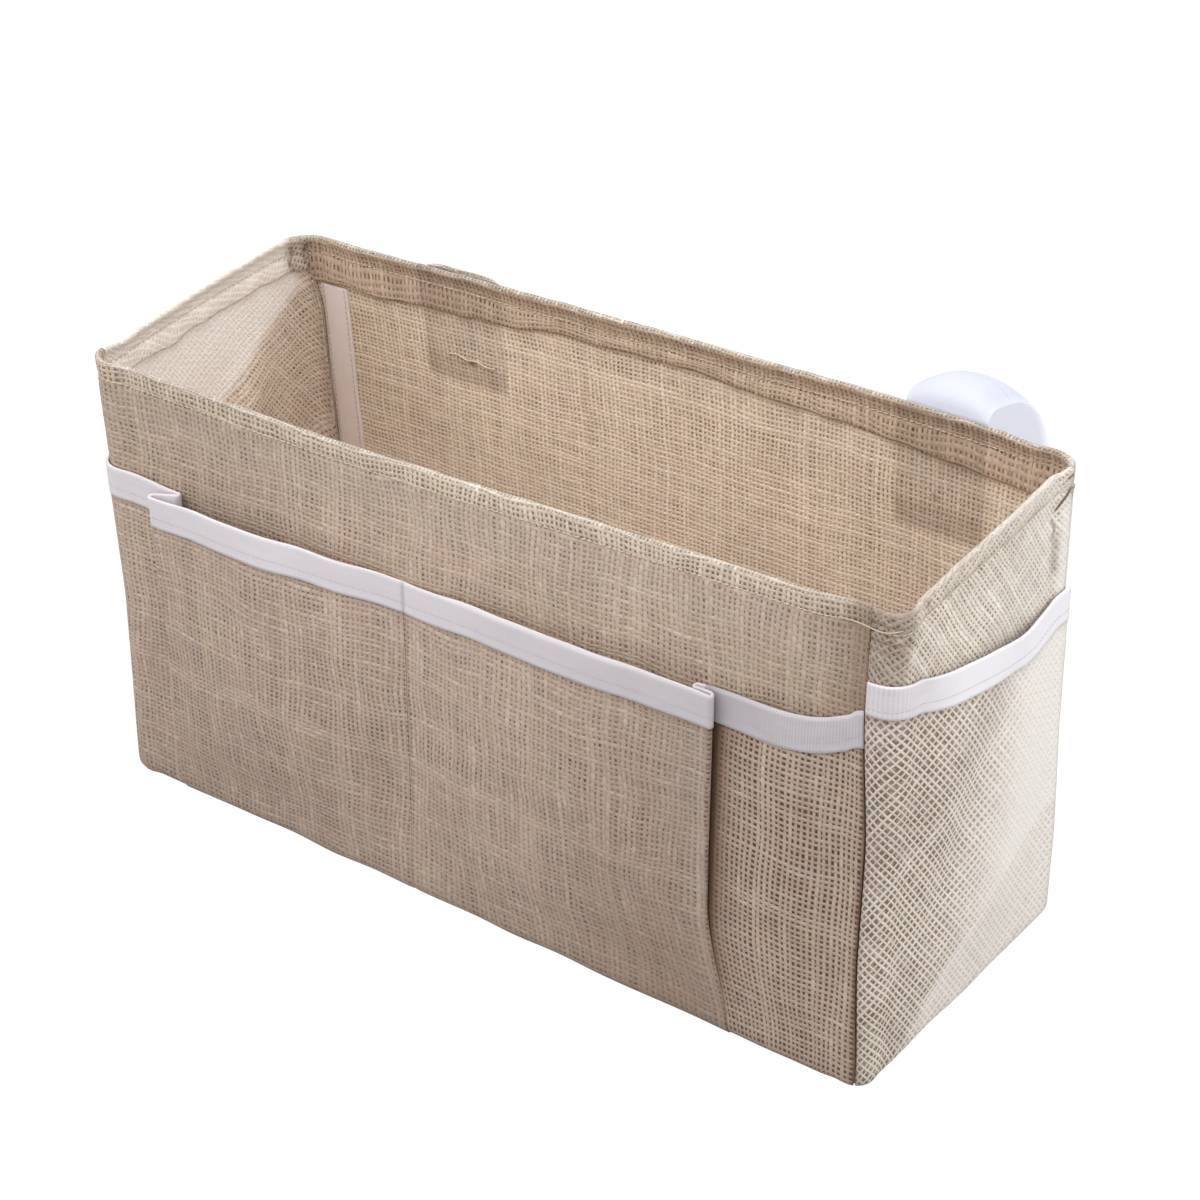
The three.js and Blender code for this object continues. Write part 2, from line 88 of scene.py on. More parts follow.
# Corners: how far the seams pull each one sharp, from the front right on, as shares of its
# radius; the level of the least pull; a distance beyond every seam; and the level from which
# the hem's end at the back left is drawn round
CORNER_PULL = {
    "foot": (0.34, 0.34, 0.34, 0.34),
    "middle": (0.25, 0.25, 0.25, 0.18),
    "rim": (0.34, 0.38, 0.12, 0.34),
}
PULL_LEVEL = 110
FAR = 99
HEM_DRAWN = 204

# Cloth: the ends' slanted grain and their pockets' pitch, shifts that give each piece its own
# part of the weave, the row of a wall that its grain follows, and lengths in the finishes
END_SLANT = 0.8
END_GRAIN = (1.6, 0.36)
END_DRAW = 0.8
END_PITCH = 3.7
CLOTH_SHIFT = 530
PATCH_SHIFT = 77
BASE_SHIFT = 1300
GRAIN_ROW = 70
SLUB_LENGTH = 17.0
OTHER_DRAW = 211.4
RIBBON_ROW = 0.9
TWILL = 1.1

# Walls: tucks beside the front right seam (level, depth, width); and for each side the
# finishes of its wall, hem, roll, hem's inner leaf and inner face
FRONT_TUCKS = ((243.2, 0.9, 0.9), (239.4, 0.7, 0.8), (235.0, 0.8, 1.0), (230.5, 0.4, 1.2))
WALL_FINISHES = (
    ("wall_mesh", "hem_mesh", "bead_mesh", "hem_mesh", "inside_mesh"),
    ("end_wall_mesh", "end_hem_mesh", "end_bead_mesh", "hem_mesh", "inside_mesh"),
    ("wall_mesh", "hem_mesh", "bead_mesh", "inner_hem_mesh", "inside_mesh"),
    ("end_wall_mesh", "end_hem_mesh", "end_bead_mesh", "end_hem_mesh", "left_inside_mesh"),
)
HEM_NAMES = ("front_hem", "right_hem", "back_hem", "left_hem")

# Hem: roll over the wire, line of stitches, and the inner leaf's foot
ROLL_RADIUS = 1.75
WIRE_RADIUS = 1.25
STITCH_LEVEL = 240.5
HEM_FOOT = 230
INNER_FACE = -CLOTH - 1.15
TAPE_FACE = -CLOTH - 0.35

# Pockets: NEAR and TUCKED are the cloth's distances from the wall
BAND_HEIGHT = 17.5
DIVIDER = -38
LEFT_PLEAT = 25
RIGHT_PLEAT = 78
RIGHT_PLEAT_FOOT = 64
PLEAT_DEPTH = 13
RIGHT_PLEAT_DEPTH = 8
PLEAT_STEP = 3.1
PLEAT_FOOT_STEP = 0.2
NEAR = 1.7
TUCKED = 0.7
SWELL_PEAK = 0.6
STITCH_DROP = 5.5
BAND_FACE = 0.8
BAND_ROWS = 12
FRONT_MOUTH = 185
END_MOUTH_FRONT = 213

# Columns of the front pocket's path: the middle of each pleat's hidden run, and how many from
# the end on belong to the last run of the cloth and of its ribbon
LEFT_TUCK = 38
RIGHT_TUCK = 238
LAST_RUN = 43
LAST_RIBBON = 47

# Straps
STRAP_WIDTH = 43
STRAP_THICKNESS = 1.8
HOOK_THICKNESS = 2.8
ANCHOR_HEIGHT = 44
PATCH_HEIGHT = 64
ROOT_DEPTH = 2.2
TAIL_DEPTH = 6.1

# A strap's loop from its anchor: depth as a share of its reach, height as a share of its rise
# above the anchor and of its fall below; then the points of its two hinges
LOOP = np.array([
    (0, 0), (0.01, 0.6), (0.07, 1), (0.19, 0.85), (0.45, 0.06), (0.69, -0.115), (0.86, -0.29),
    (0.985, -0.54), (0.955, -0.79), (0.67, -0.98), (0.28, -1), (0.045, -0.87), (0, -0.68),
])
TOP_POINT = 2
PEEL_POINT = 5
LOOP_STEPS = 260
FOOT_STEPS = 24
TAPE_COLUMNS = 15
STRAPS = {
    "left": {"place": -120, "drop": 14, "reach": 22, "rise": 5, "fall": 112, "dome": 1.2},
    "right": {"place": 155, "drop": 2, "reach": 75, "rise": 7.4, "fall": 104, "dome": 7.8},
}

# Camera of the photograph, fitted to the rim, the base corners and the seams
CAMERA_TURN = 0.6499
CAMERA_TILT = 0.5665
CAMERA_ROLL = 0.0191
CAMERA_DISTANCE = 1720.11
CAMERA_SHIFT = (-10.54, -119.08)
CAMERA_FOCUS = 3381.9
PICTURE = 1200
SENSOR = 36


def tint(red, green, blue):
    """A colour written as 0 to 255, as Blender's linear numbers."""
    def linear(c):
        c /= 255
        return c / 12.92 if c <= 0.04045 else ((c + 0.055) / 1.055) ** 2.4
    return (linear(red), linear(green), linear(blue), 1.0)


def colour_setting(name, description, value):
    return bpy.props.FloatVectorProperty(
        name=name, description=description, default=tint(*value), subtype="COLOR", size=4, min=0, max=1)


def number_setting(name, description, value, low, high):
    return bpy.props.FloatProperty(name=name, description=description, default=value, min=low, max=high)


class CaddyClothSettings(bpy.types.PropertyGroup):
    """Sizes and colours of the linen mesh."""
    pitch: number_setting("Yarn pitch", "Distance between yarns, in millimetres", 2.75, 1, 8)
    puckers: number_setting("Puckers", "Depth of the puckers along the stitches, in millimetres", 0.25, 0, 2)
    wall_light: colour_setting("Wall yarn, light", "Light yarns of the walls", (213, 190, 170))
    wall_dark: colour_setting("Wall yarn, dark", "Dark yarns of the walls", (184, 161, 142))
    # The hole colours are painted shade: the mesh's holes are solid cloth, coloured for the shade seen
    # through them.
    wall_hole: colour_setting("Wall holes", "Depth seen in the mesh's holes", (66, 50, 38))
    pocket_light: colour_setting("Pocket yarn, light", "Light yarns of the pockets", (208, 185, 168))
    pocket_dark: colour_setting("Pocket yarn, dark", "Dark yarns of the pockets", (180, 157, 141))
    pocket_hole: colour_setting("Pocket holes", "Depth seen in the pockets' holes", (64, 48, 38))
    thread: colour_setting("Thread", "Sewing thread in the linen", (216, 200, 178))


class CaddyTrimSettings(bpy.types.PropertyGroup):
    """Sizes and colours of the ribbons, tapes and hidden parts."""
    rib: number_setting("Rib pitch", "Distance between the ribbon's ribs, in millimetres", 1.5, 0.5, 5)
    band: colour_setting("Ribbon", "Corded ribbon over the pocket mouths", (223, 217, 221))
    tape: colour_setting("Tape", "Woven tape of the straps and seams", (222, 224, 234))
    board: colour_setting("Board", "Board in the base", (222, 218, 208))
    steel: colour_setting("Wire", "Wire of the rim", (168, 168, 172))


class CaddyStageSettings(bpy.types.PropertyGroup):
    """Light levels of the stage."""
    key: number_setting("Key light", "Power of the broad light at the right, in watts", 13, 0, 500)
    fill: number_setting("Fill light", "Power of the light at the front left, in watts", 3.2, 0, 500)
    top: number_setting("Top light", "Power of the light from above, in watts", 32, 0, 500)
    sky: number_setting("Sky", "Strength of the even light from all round", 0.55, 0, 5)


# Outline of the body

def outline(level):
    """Half sizes, corner radius and turn of the outline at a level: each changes evenly from
    the base to the rim."""
    share = np.asarray(level, float) / HEIGHT
    half = ((BASE_LENGTH - LENGTH_TAPER * share) / 2, (BASE_DEPTH - DEPTH_TAPER * share) / 2)
    return half, BASE_CORNER + (RIM_CORNER - BASE_CORNER) * share, RIM_TURN * share


def straight_half(side, level):
    """Half the length of a side's straight part."""
    half, corner, _ = outline(level)
    return half[side % 2] - corner


def covered(side, end):
    """Share of a corner that a side's cloth covers at its end of that sign. A long side's cloth
    wraps far round one corner and a little way round the other, and the ends fit between."""
    ahead = np.asarray(end) > 0
    if side % 2 == 0:
        return np.where(ahead, NEAR_SHARE, WRAP_SHARE)
    return np.where(ahead, 1 - WRAP_SHARE, 1 - NEAR_SHARE)


def seam_along(side, level, end=1):
    """Distance from a side's middle to the seam at one of its ends: the front right seam leans
    forward at its top and stands back at its foot, and the hem's end at the back left is drawn
    further round."""
    level = np.asarray(level, float)
    lean = 3.2 - 2.4 * ease(level / 80) - 3.8 * ease((level - 125) / 85)
    drawn = 3.6 * ease((level - HEM_DRAWN) / 30)
    ahead = np.asarray(end) > 0
    shift = (ahead * lean, ~ahead * -lean, ahead * drawn, ~ahead * -drawn)[side]
    return straight_half(side, level) + outline(level)[1] * QUARTER * covered(side, end) + shift


SeamGaps = namedtuple("SeamGaps", "near low high")


def seam_gaps(side, level, along):
    """Distance along the cloth to the nearer seam, and the same to the seam at the low and at
    the high end alone, where the other half counts as far away."""
    near = seam_along(side, level, along) - np.abs(along)
    return SeamGaps(near, np.where(along < 0, near, FAR), np.where(along < 0, FAR, near))


def backward(side, along):
    """Distance along an end wall toward the back."""
    return along if side == RIGHT else -along


def corner_pull(side, along, level):
    """How far the seams pull a corner sharp, as a share of its radius: it changes evenly from
    the foot to the level of the least pull and from there to the rim."""
    corner = np.where(along > 0, side, (side + 3) % 4)
    foot, middle, rim = (np.array(CORNER_PULL[key])[corner] for key in ("foot", "middle", "rim"))
    low = np.clip(level / PULL_LEVEL, 0, 1)
    high = np.clip((level - PULL_LEVEL) / (HEIGHT - PULL_LEVEL), 0, 1)
    return foot + (middle - foot) * low + (rim - middle) * high


def rim_lift(x, y, level):
    """Soft rise and sag of the rim: small measured heights along the front and the back, shared
    across the depth, that fade to nothing at two thirds of the height."""
    front = np.interp(x, (-215, -157, -75, 0, 71, 189, 215), (-0.6, -1.9, -4.1, -3.2, -2.2, -0.9, -0.4))
    back = np.interp(x, (-215, -190, -66, 50, 105, 180, 215), (0.7, 0.2, 2.8, 3.3, 4.1, 2.5, -1.2))
    across = np.clip(y / (BASE_DEPTH - DEPTH_TAPER) + 0.5, 0, 1)
    left = np.interp(y, (-82, -62, -20, 40, 66, 82), (1.2, 3.0, 2.6, 0.8, -1.6, -2.6))
    left = left * hump(x + 224, 9)
    near = 3.0 * np.exp(-((x - 212) ** 2 + (y + 72) ** 2) / 18 ** 2)
    lift = front + (back - front) * across + left + near
    return lift * ease((level - HEIGHT * 0.66) / (HEIGHT * 0.34))


def billow(u, v, seed, size):
    """Soft unevenness, mostly from -1 to 1: a few waves about size long, each with its own
    direction, length and start from a seeded draw."""
    draw = np.random.default_rng(seed)
    total = 0
    for _ in range(WAVES):
        angle = draw.uniform(0, math.pi)
        length = size * draw.uniform(0.7, 1.5)
        start = draw.uniform(0, 2 * math.pi)
        across = u * math.cos(angle) + v * math.sin(angle)
        total = total + np.cos(2 * math.pi * across / length + start)
    return total / math.sqrt(WAVES)


def ease(share):
    """A soft step from 0 to 1."""
    share = np.clip(share, 0, 1)
    return share * share * (3 - 2 * share)


def hump(away, width):
    """A round hump: 1 where away is 0, and next to nothing beyond twice the width."""
    return np.exp(-(away / width) ** 2)


def bow(side, along, level):
    """How far a wall stands out of its plane: long slack waves that fade to nothing at the
    seams, the foot and the rim, and one diagonal fold in each end."""
    straight = straight_half(side, level)
    edge = ease((straight - np.abs(along)) / 45)
    foot = ease(level / 60)
    slack = 0.45 * billow(along, level * 0.6, 11 + side, 130) + 0.16 * billow(along, level, 31 + side, 48)
    out = slack * edge * foot * ease((HEIGHT + 25 - level) / 60)
    if side % 2:
        across = backward(side, along) * 0.83 + (level - 120) * -0.56 + 8
        fold = -4.2 * hump(across, 17) + 1.8 * hump(across + 34, 26)
        out = out + fold * edge * ease((215 - level) / 60) * foot * (1.6 if side == LEFT else 0.6)
    return out


def plan(side, along, level, out):
    """Place in plan: along the straight, then round the corner's arc, pushed out of the face,
    and turned with its side and level."""
    half, corner, turn = outline(level)
    straight = half[side % 2] - corner
    bend = np.sign(along) * np.maximum(np.abs(along) - straight, 0) / corner
    face = half[(side + 1) % 2] - corner
    radius = corner * (1 + corner_pull(side, along, level) * np.sin(2 * bend) ** 2) + out
    x = np.clip(along, -straight, straight) + radius * np.sin(bend)
    y = -face - radius * np.cos(bend)
    angle = QUARTER * side + turn
    return x * np.cos(angle) - y * np.sin(angle), x * np.sin(angle) + y * np.cos(angle)


def wall(side, along, rise, out):
    """Place on a wall: rise is measured up the cloth from the underside, round the soft lower
    edge, and out is the distance in front of the outer face, to which the wall's bow is added."""
    along, rise, out = np.broadcast_arrays(*(np.asarray(a, float) for a in (along, rise, out)))
    bend = np.minimum(rise / EDGE, QUARTER)
    above = np.maximum(rise - EDGE_RISE, 0)
    level = EDGE * (1 - np.cos(bend)) + above
    out = out + bow(side, along, level)
    x, y = plan(side, along, level, (EDGE + out) * np.sin(bend) - EDGE)
    z = EDGE - (EDGE + out) * np.cos(bend) + above
    return np.stack([x, y, z + rim_lift(x, y, level)], axis=-1)


def all_round(level, long, short, place):
    """Places all round the body, from place(side, along) for so many steps on each long side
    and each end."""
    parts = []
    for side in range(4):
        limit = straight_half(side, level) + outline(level)[1] * QUARTER / 2
        along = np.linspace(-1, 1, (short if side % 2 else long) + 1)[:-1] * limit
        parts.append(place(side, along))
    return np.concatenate(parts, axis=-2)


def wall_line(side, along, level, out, step=1):
    """A line at a distance in front of a wall, and the directions of a step further out."""
    line = wall(side, along, rise_to(level), out)
    return line, wall(side, along, rise_to(level), out + step) - line


def rise_to(level):
    """Distance up the cloth to a level above the lower edge."""
    return level - EDGE + EDGE_RISE


def level_at(rise):
    """Level reached at a distance up the cloth, round the lower edge too."""
    return EDGE * (1 - np.cos(np.minimum(rise / EDGE, QUARTER))) + np.maximum(rise - EDGE_RISE, 0)


# Meshes

def add_object(name, points, faces, uv=None, smooth=True):
    """A mesh object from points in millimetres and faces; uv holds one pair a point."""
    mesh = bpy.data.meshes.new(name)
    mesh.from_pydata((np.asarray(points).reshape(-1, 3) * MM).tolist(), [], np.asarray(faces).tolist())
    if uv is not None:
        corners = np.empty(len(mesh.loops), np.int32)
        mesh.loops.foreach_get("vertex_index", corners)
        layer = mesh.uv_layers.new(name="cloth")
        layer.data.foreach_set("uv", np.asarray(uv, np.float32).reshape(-1, 2)[corners].ravel())
    mesh.polygons.foreach_set("use_smooth", [smooth] * len(mesh.polygons))
    mesh.update()
    piece = bpy.data.objects.new(name, mesh)
    bpy.context.scene.collection.objects.link(piece)
    return piece


def grid_faces(rows, columns, ring=False):
    """Quads of a grid of rows by columns; with ring the last column joins the first."""
    i = np.arange(columns if ring else columns - 1)
    j = np.arange(rows - 1)[:, None]
    a = j * columns + i
    b = j * columns + (i + 1) % columns
    return np.stack([a, b, b + columns, a + columns], axis=-1).reshape(-1, 4)


def add_grid(name, points, uv=None, ring=False):
    """A sheet over rows and columns of points; with ring its last column joins the first."""
    rows, columns = points.shape[:2]
    return add_object(name, points, grid_faces(rows, columns, ring), uv)


def face_outward(piece):
    """Turn the faces of a closed body outward."""
    body = bmesh.new()
    body.from_mesh(piece.data)
    bmesh.ops.recalc_face_normals(body, faces=body.faces)
    body.to_mesh(piece.data)
    body.free()
    return piece


def paint(piece, name, values):
    """Store one number a point as an attribute that the material reads."""
    attribute = piece.data.attributes.new(name, "FLOAT", "POINT")
    attribute.data.foreach_set("value", np.asarray(values, np.float32).ravel())


def sort_faces(piece, zone):
    """Give each face the material slot of that number."""
    piece.data.polygons.foreach_set("material_index", zone.ravel().astype(np.int32))


def thicken(piece, thickness, offset=-1.0):
    """Give a sheet its thickness, in millimetres, on the side away from its normals."""
    modifier = piece.modifiers.new("Thickness", "SOLIDIFY")
    modifier.thickness = thickness * MM
    modifier.offset = offset
    modifier.use_even_offset = False
    return piece


def made(name):
    """The material of that name."""
    return bpy.data.materials[name]


def finish_piece(piece, material, body="bin", replaces=()):
    """Give a piece its material and its body, and hide the nodes it stands for."""
    piece.data.materials.append(made(material))
    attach(piece, body)
    if replaces:
        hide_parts(*replaces)
    return piece


def travelled(line):
    """Distance of each point of a line from its first point, along the line."""
    return np.concatenate([[0], np.cumsum(np.linalg.norm(np.diff(line, axis=0), axis=1))])


def pairs(u, v):
    """Two numbers a point, for cloth coordinates."""
    return np.stack(np.broadcast_arrays(u, v), -1)


def unit(vectors):
    """The same directions, one long."""
    return vectors / np.linalg.norm(vectors, axis=-1, keepdims=True)


def hoop(one, other, sides):
    """Directions all round, in the plane of two directions that stand square on each other."""
    angle = (np.arange(sides) / sides * 2 * math.pi)[:, None]
    return one[..., None, :] * np.cos(angle) + other[..., None, :] * np.sin(angle)


def along_line(length, line, at):
    """Points of a line at distances along it, where length holds those of its own points."""
    return np.stack([np.interp(at, length, line[:, k]) for k in range(3)], axis=-1)


def stitches(name, line, normals, pitch, reach, radius, height=0.5, seed=5):
    """A run of stitches: each is a short round thread along the line, bowed out of the cloth
    by height in its middle, with a small seeded difference in length and place."""
    length = travelled(line)
    count = max(int(round(length[-1] / pitch)), 2)
    at = (np.arange(count) + 0.5) * length[-1] / count
    draw = np.random.default_rng(seed)
    at = at + draw.uniform(-0.06, 0.06, len(at)) * pitch
    reach = reach * draw.uniform(0.88, 1.08, len(at))
    rings, sides = 5, 6
    s = np.linspace(-0.5, 0.5, rings)
    spot = at[:, None] + s * reach[:, None]
    centre = along_line(length, line, spot.clip(0, length[-1]).ravel()).reshape(len(at), rings, 3)
    normal = unit(along_line(length, normals, at))
    run = centre[:, -1] - centre[:, 0]
    run /= np.maximum(np.linalg.norm(run, axis=1, keepdims=True), 1e-9)
    across = np.cross(normal, run)
    lift = height * (1 - (2 * s) ** 2) - 0.15
    centre = centre + normal[:, None] * lift[None, :, None]
    thick = radius * np.array([0.45, 0.95, 1, 0.95, 0.45])
    points = centre[:, :, None] + hoop(across, normal, sides)[:, None] * thick[:, None, None]
    block = rings * sides
    one = grid_faces(rings, sides, ring=True)
    caps = np.array([[0, sides - 1, sides - 2, sides - 3], [0, 3, 2, 1],
                     [block - sides, block - sides + 1, block - sides + 2, block - sides + 3],
                     [block - sides, block - sides + 3, block - 2, block - 1]])
    one = np.concatenate([one, caps])
    faces = (one[None] + (np.arange(len(at)) * block)[:, None, None]).reshape(-1, 4)
    return face_outward(add_object(name, points, faces))


def thread(name, points, radius):
    """A round thread along smooth points: rings of six about the line's direction."""
    points = np.asarray(points, float)
    t = np.linspace(0, len(points) - 1, (len(points) - 1) * 8 + 1)
    line = np.array([catmull(points, x / (len(points) - 1)) for x in t])
    run = unit(np.gradient(line, axis=0))
    side = unit(np.cross(run, [0.31, 0.52, 0.79]))
    taper = np.ones(len(line))
    taper[[0, -1]] = 0.3
    rings = line[:, None] + hoop(side, np.cross(run, side), 6) * (radius * taper)[:, None, None]
    faces = grid_faces(len(line), 6, ring=True).tolist()
    last = (len(line) - 1) * 6
    faces += [[3, 2, 1, 0], [0, 5, 4, 3]]
    faces += [[last, last + 1, last + 2, last + 3], [last, last + 3, last + 4, last + 5]]
    return add_object(name, rings, faces)


def catmull(points, t):
    """Point at share t of a curve through the points, each span a cubic whose slopes are half
    the step between the neighbours."""
    last = len(points) - 1
    place = min(max(t, 0), 1) * last
    i = min(int(place), last - 1) if place < last else last
    w = place - i
    p0, p1 = points[max(i - 1, 0)], points[i]
    p2, p3 = points[min(i + 1, last)], points[min(i + 2, last)]
    v0, v1 = (p2 - p0) / 2, (p3 - p1) / 2
    return (2 * p1 - 2 * p2 + v0 + v1) * w ** 3 + (-3 * p1 + 3 * p2 - 2 * v0 - v1) * w ** 2 + v0 * w + p1


# Materials

class Bench:
    """Short calls for making nodes in one tree and joining their sockets."""

    def __init__(self, tree):
        self.tree = tree

    def node(self, kind, inputs=None, **settings):
        made = self.tree.nodes.new(kind)
        for key, value in settings.items():
            setattr(made, key, value)
        for key, value in (inputs or {}).items():
            self.set(made.inputs[key], value)
        return made

    def set(self, socket, value):
        if isinstance(value, bpy.types.NodeSocket):
            self.tree.links.new(value, socket)
        else:
            socket.default_value = value

    def math(self, operation, a, b=None, c=None, clamp=False):
        made = self.node("ShaderNodeMath", operation=operation, use_clamp=clamp)
        for socket, value in zip(made.inputs, (a, b, c)):
            if value is not None:
                self.set(socket, value)
        return made.outputs[0]

    def plus(self, a, b):
        return self.math("ADD", a, b)

    def minus(self, a, b):
        return self.math("SUBTRACT", a, b)

    def times(self, a, b, clamp=False):
        return self.math("MULTIPLY", a, b, clamp=clamp)

    def divided(self, a, b):
        return self.math("DIVIDE", a, b)

    def scaled(self, value, by, start):
        return self.math("MULTIPLY_ADD", value, by, start)

    def vector(self, operation, a, b=None, scale=None):
        made = self.node("ShaderNodeVectorMath", operation=operation)
        for key, value in ((0, a), (1, b), ("Scale", scale)):
            if value is not None:
                self.set(made.inputs[key], value)
        return made.outputs[0]

    def painted(self, name):
        """The numbers that paint stored."""
        return self.node("ShaderNodeAttribute", attribute_name=name).outputs["Fac"]

    def cloth(self):
        """The cloth coordinates, in millimetres."""
        return self.node("ShaderNodeUVMap", uv_map="cloth").outputs[0]

    def seen(self):
        """1 for rays that show a surface or a sky, 0 for those that light something else."""
        rays = self.node("ShaderNodeLightPath").outputs
        inner = self.math("MAXIMUM", rays["Is Glossy Ray"], rays["Is Transmission Ray"])
        return self.math("MAXIMUM", rays["Is Camera Ray"], inner)

    def relief(self, shader, height, strength, distance):
        """A bump for a shader, its distance in metres."""
        made = self.node("ShaderNodeBump", {"Height": height, "Strength": strength, "Distance": distance})
        self.set(shader.inputs["Normal"], made.outputs[0])

    def joined(self, x, y, z=0.0):
        return self.node("ShaderNodeCombineXYZ", {"X": x, "Y": y, "Z": z}).outputs[0]

    def parts(self, vector):
        return self.node("ShaderNodeSeparateXYZ", {0: vector}).outputs

    def noise(self, vector, scale, detail=1.0):
        return self.node("ShaderNodeTexNoise", {"Vector": vector, "Scale": scale, "Detail": detail}).outputs

    def random(self, value):
        return self.node("ShaderNodeTexWhiteNoise", {"W": value}, noise_dimensions="1D").outputs["Value"]

    def remap(self, value, low, high, to_low=0.0, to_high=1.0, smooth=False):
        return self.node("ShaderNodeMapRange", {"Value": value, "From Min": low, "From Max": high,
                                                "To Min": to_low, "To Max": to_high},
                         interpolation_type="SMOOTHSTEP" if smooth else "LINEAR").outputs["Result"]

    def either(self, share, a, b):
        """One of two numbers: a where share is 0 and b where it is 1."""
        made = self.node("ShaderNodeMix", data_type="FLOAT")
        for place, value in ((0, share), (2, a), (3, b)):
            self.set(made.inputs[place], value)
        return made.outputs[0]

    def mix(self, share, a, b):
        """One of two colours: a where share is 0 and b where it is 1."""
        made = self.node("ShaderNodeMix", data_type="RGBA")
        for place, value in ((0, share), (6, a), (7, b)):
            self.set(made.inputs[place], value)
        return made.outputs[2]


def new_group(name, inputs, outputs):
    """A node group with its sockets, and a bench to fill it."""
    tree = bpy.data.node_groups.new(name, "ShaderNodeTree")
    for label, kind, value in inputs:
        socket = tree.interface.new_socket(label, in_out="INPUT", socket_type=kind)
        if value is not None:
            socket.default_value = value
    for label, kind in outputs:
        tree.interface.new_socket(label, in_out="OUTPUT", socket_type=kind)
    bench = Bench(tree)
    return tree, bench, bench.node("NodeGroupInput").outputs, bench.node("NodeGroupOutput").inputs


def open_weave_group():
    """Open plain weave: uneven yarns both ways, each over and under in turn, with slubs, holes
    of uneven size, and patches where the mesh is drawn closed."""
    tree, b, given, out = new_group(
        "Open weave",
        [("Place", "NodeSocketVector", None)] + [(name, "NodeSocketFloat", value) for name, value in (
            ("Pitch", 2.7), ("Upright", 0.74), ("Across", 0.66), ("Wander", 1.0), ("Closing", 0.7),
            ("Evenness", 0.15))],
        [(name, "NodeSocketFloat") for name in ("Tone", "Slub", "Hole", "Height")])
    place, pitch, upright, across, wander, closing, evenness = given[:7]
    moved = place
    for scale, reach in ((0.02, 9.0), (0.14, 1.3)):
        drift = b.vector("SUBTRACT", b.noise(place, scale)["Color"], (0.5, 0.5, 0.5))
        moved = b.vector("ADD", moved, b.vector("SCALE", drift, scale=b.times(wander, reach)))
    x, y, _ = b.parts(moved)
    closed = b.remap(b.noise(place, 0.045, 2.0)["Fac"], 0.4, 0.62, smooth=True)
    covers, heights, tones, slubs, indices = [], [], [], [], []
    for first, second, width, start in ((x, y, upright, 3.1), (y, x, across, 57.7)):
        count = b.divided(first, pitch)
        index = b.math("FLOOR", count)
        part = b.math("FRACT", count)
        chance = b.random(b.plus(index, start))
        other = b.random(b.plus(index, start + OTHER_DRAW))
        slub = b.noise(b.joined(b.times(index, 3.37), b.divided(second, SLUB_LENGTH), start), 1.0, 2.0)["Fac"]
        thick = b.times(width, b.scaled(chance, 0.26, 0.87))
        thick = b.times(thick, b.scaled(slub, 0.9, 0.55))
        middle = b.scaled(b.minus(other, 0.5), 0.2, 0.5)
        away = b.math("ABSOLUTE", b.minus(part, middle))
        share = b.divided(away, b.times(thick, 0.5))
        covers.append(b.remap(share, 1.16, 0.94, smooth=True))
        roll = b.minus(1.0, b.math("POWER", b.math("MINIMUM", share, 1.0), 2.0))
        beat = b.math("SINE", b.times(b.plus(b.divided(second, pitch), b.plus(index, start)), math.pi))
        heights.append(b.times(roll, b.scaled(beat, 0.3, 0.7)))
        tones.append(b.scaled(slub, 0.5, b.scaled(chance, 0.22, 0.14)))
        slubs.append(b.remap(slub, 0.58, 0.72, smooth=True))
        indices.append(index)
    over = b.math("GREATER_THAN", heights[0], heights[1])
    for label, pair in (("Tone", tones), ("Slub", slubs)):
        b.set(out[label], b.either(over, pair[1], pair[0]))
    cell = b.node("ShaderNodeTexWhiteNoise", {"Vector": b.joined(*indices)}, noise_dimensions="2D")
    depth = b.remap(cell.outputs["Value"], 0.05, 0.75, evenness)
    depth = b.times(depth, b.minus(1.0, b.times(closed, closing)))
    hole = b.minus(1.0, b.math("MAXIMUM", covers[0], covers[1]))
    b.set(out["Hole"], b.times(hole, depth))
    b.set(out["Height"], b.math("MAXIMUM", heights[0], heights[1]))
    return tree


def patina_group():
    """Slow differences of tone over cloth: broad warm and cool areas, and a finer mottle."""
    tree, b, given, out = new_group(
        "Cloth patina", [("Place", "NodeSocketVector", None), ("Colour", "NodeSocketColor", (1, 1, 1, 1)),
                         ("Strength", "NodeSocketFloat", 1.0)], [("Colour", "NodeSocketColor")])
    place, colour, strength = given[:3]
    broad = b.noise(place, 0.018, 2.0)["Fac"]
    fine = b.noise(place, 0.09, 2.0)["Fac"]
    value = b.scaled(b.minus(broad, 0.5), 0.26, b.times(b.minus(fine, 0.5), 0.14))
    value = b.scaled(value, strength, 1.0)
    hue = b.node("ShaderNodeHueSaturation", {
        "Hue": b.scaled(b.minus(b.noise(place, 0.027, 1.0)["Fac"], 0.5), 0.03, 0.5),
        "Saturation": b.scaled(b.minus(fine, 0.5), 0.3, 1.0),
        "Value": value, "Color": colour})
    b.set(out["Colour"], hue.outputs["Color"])
    return tree


def group_node(b, name, inputs):
    return b.node("ShaderNodeGroup", inputs, node_tree=bpy.data.node_groups[name]).outputs


def new_material(name, roughness, sheen=0.0, metallic=0.0):
    material = bpy.data.materials.new(name)
    material.use_nodes = True
    shader = material.node_tree.nodes["Principled BSDF"]
    shader.inputs["Roughness"].default_value = roughness
    shader.inputs["Metallic"].default_value = metallic
    shader.inputs["Sheen Weight"].default_value = sheen
    shader.inputs["Specular IOR Level"].default_value = 0.25
    return material, shader, Bench(material.node_tree)
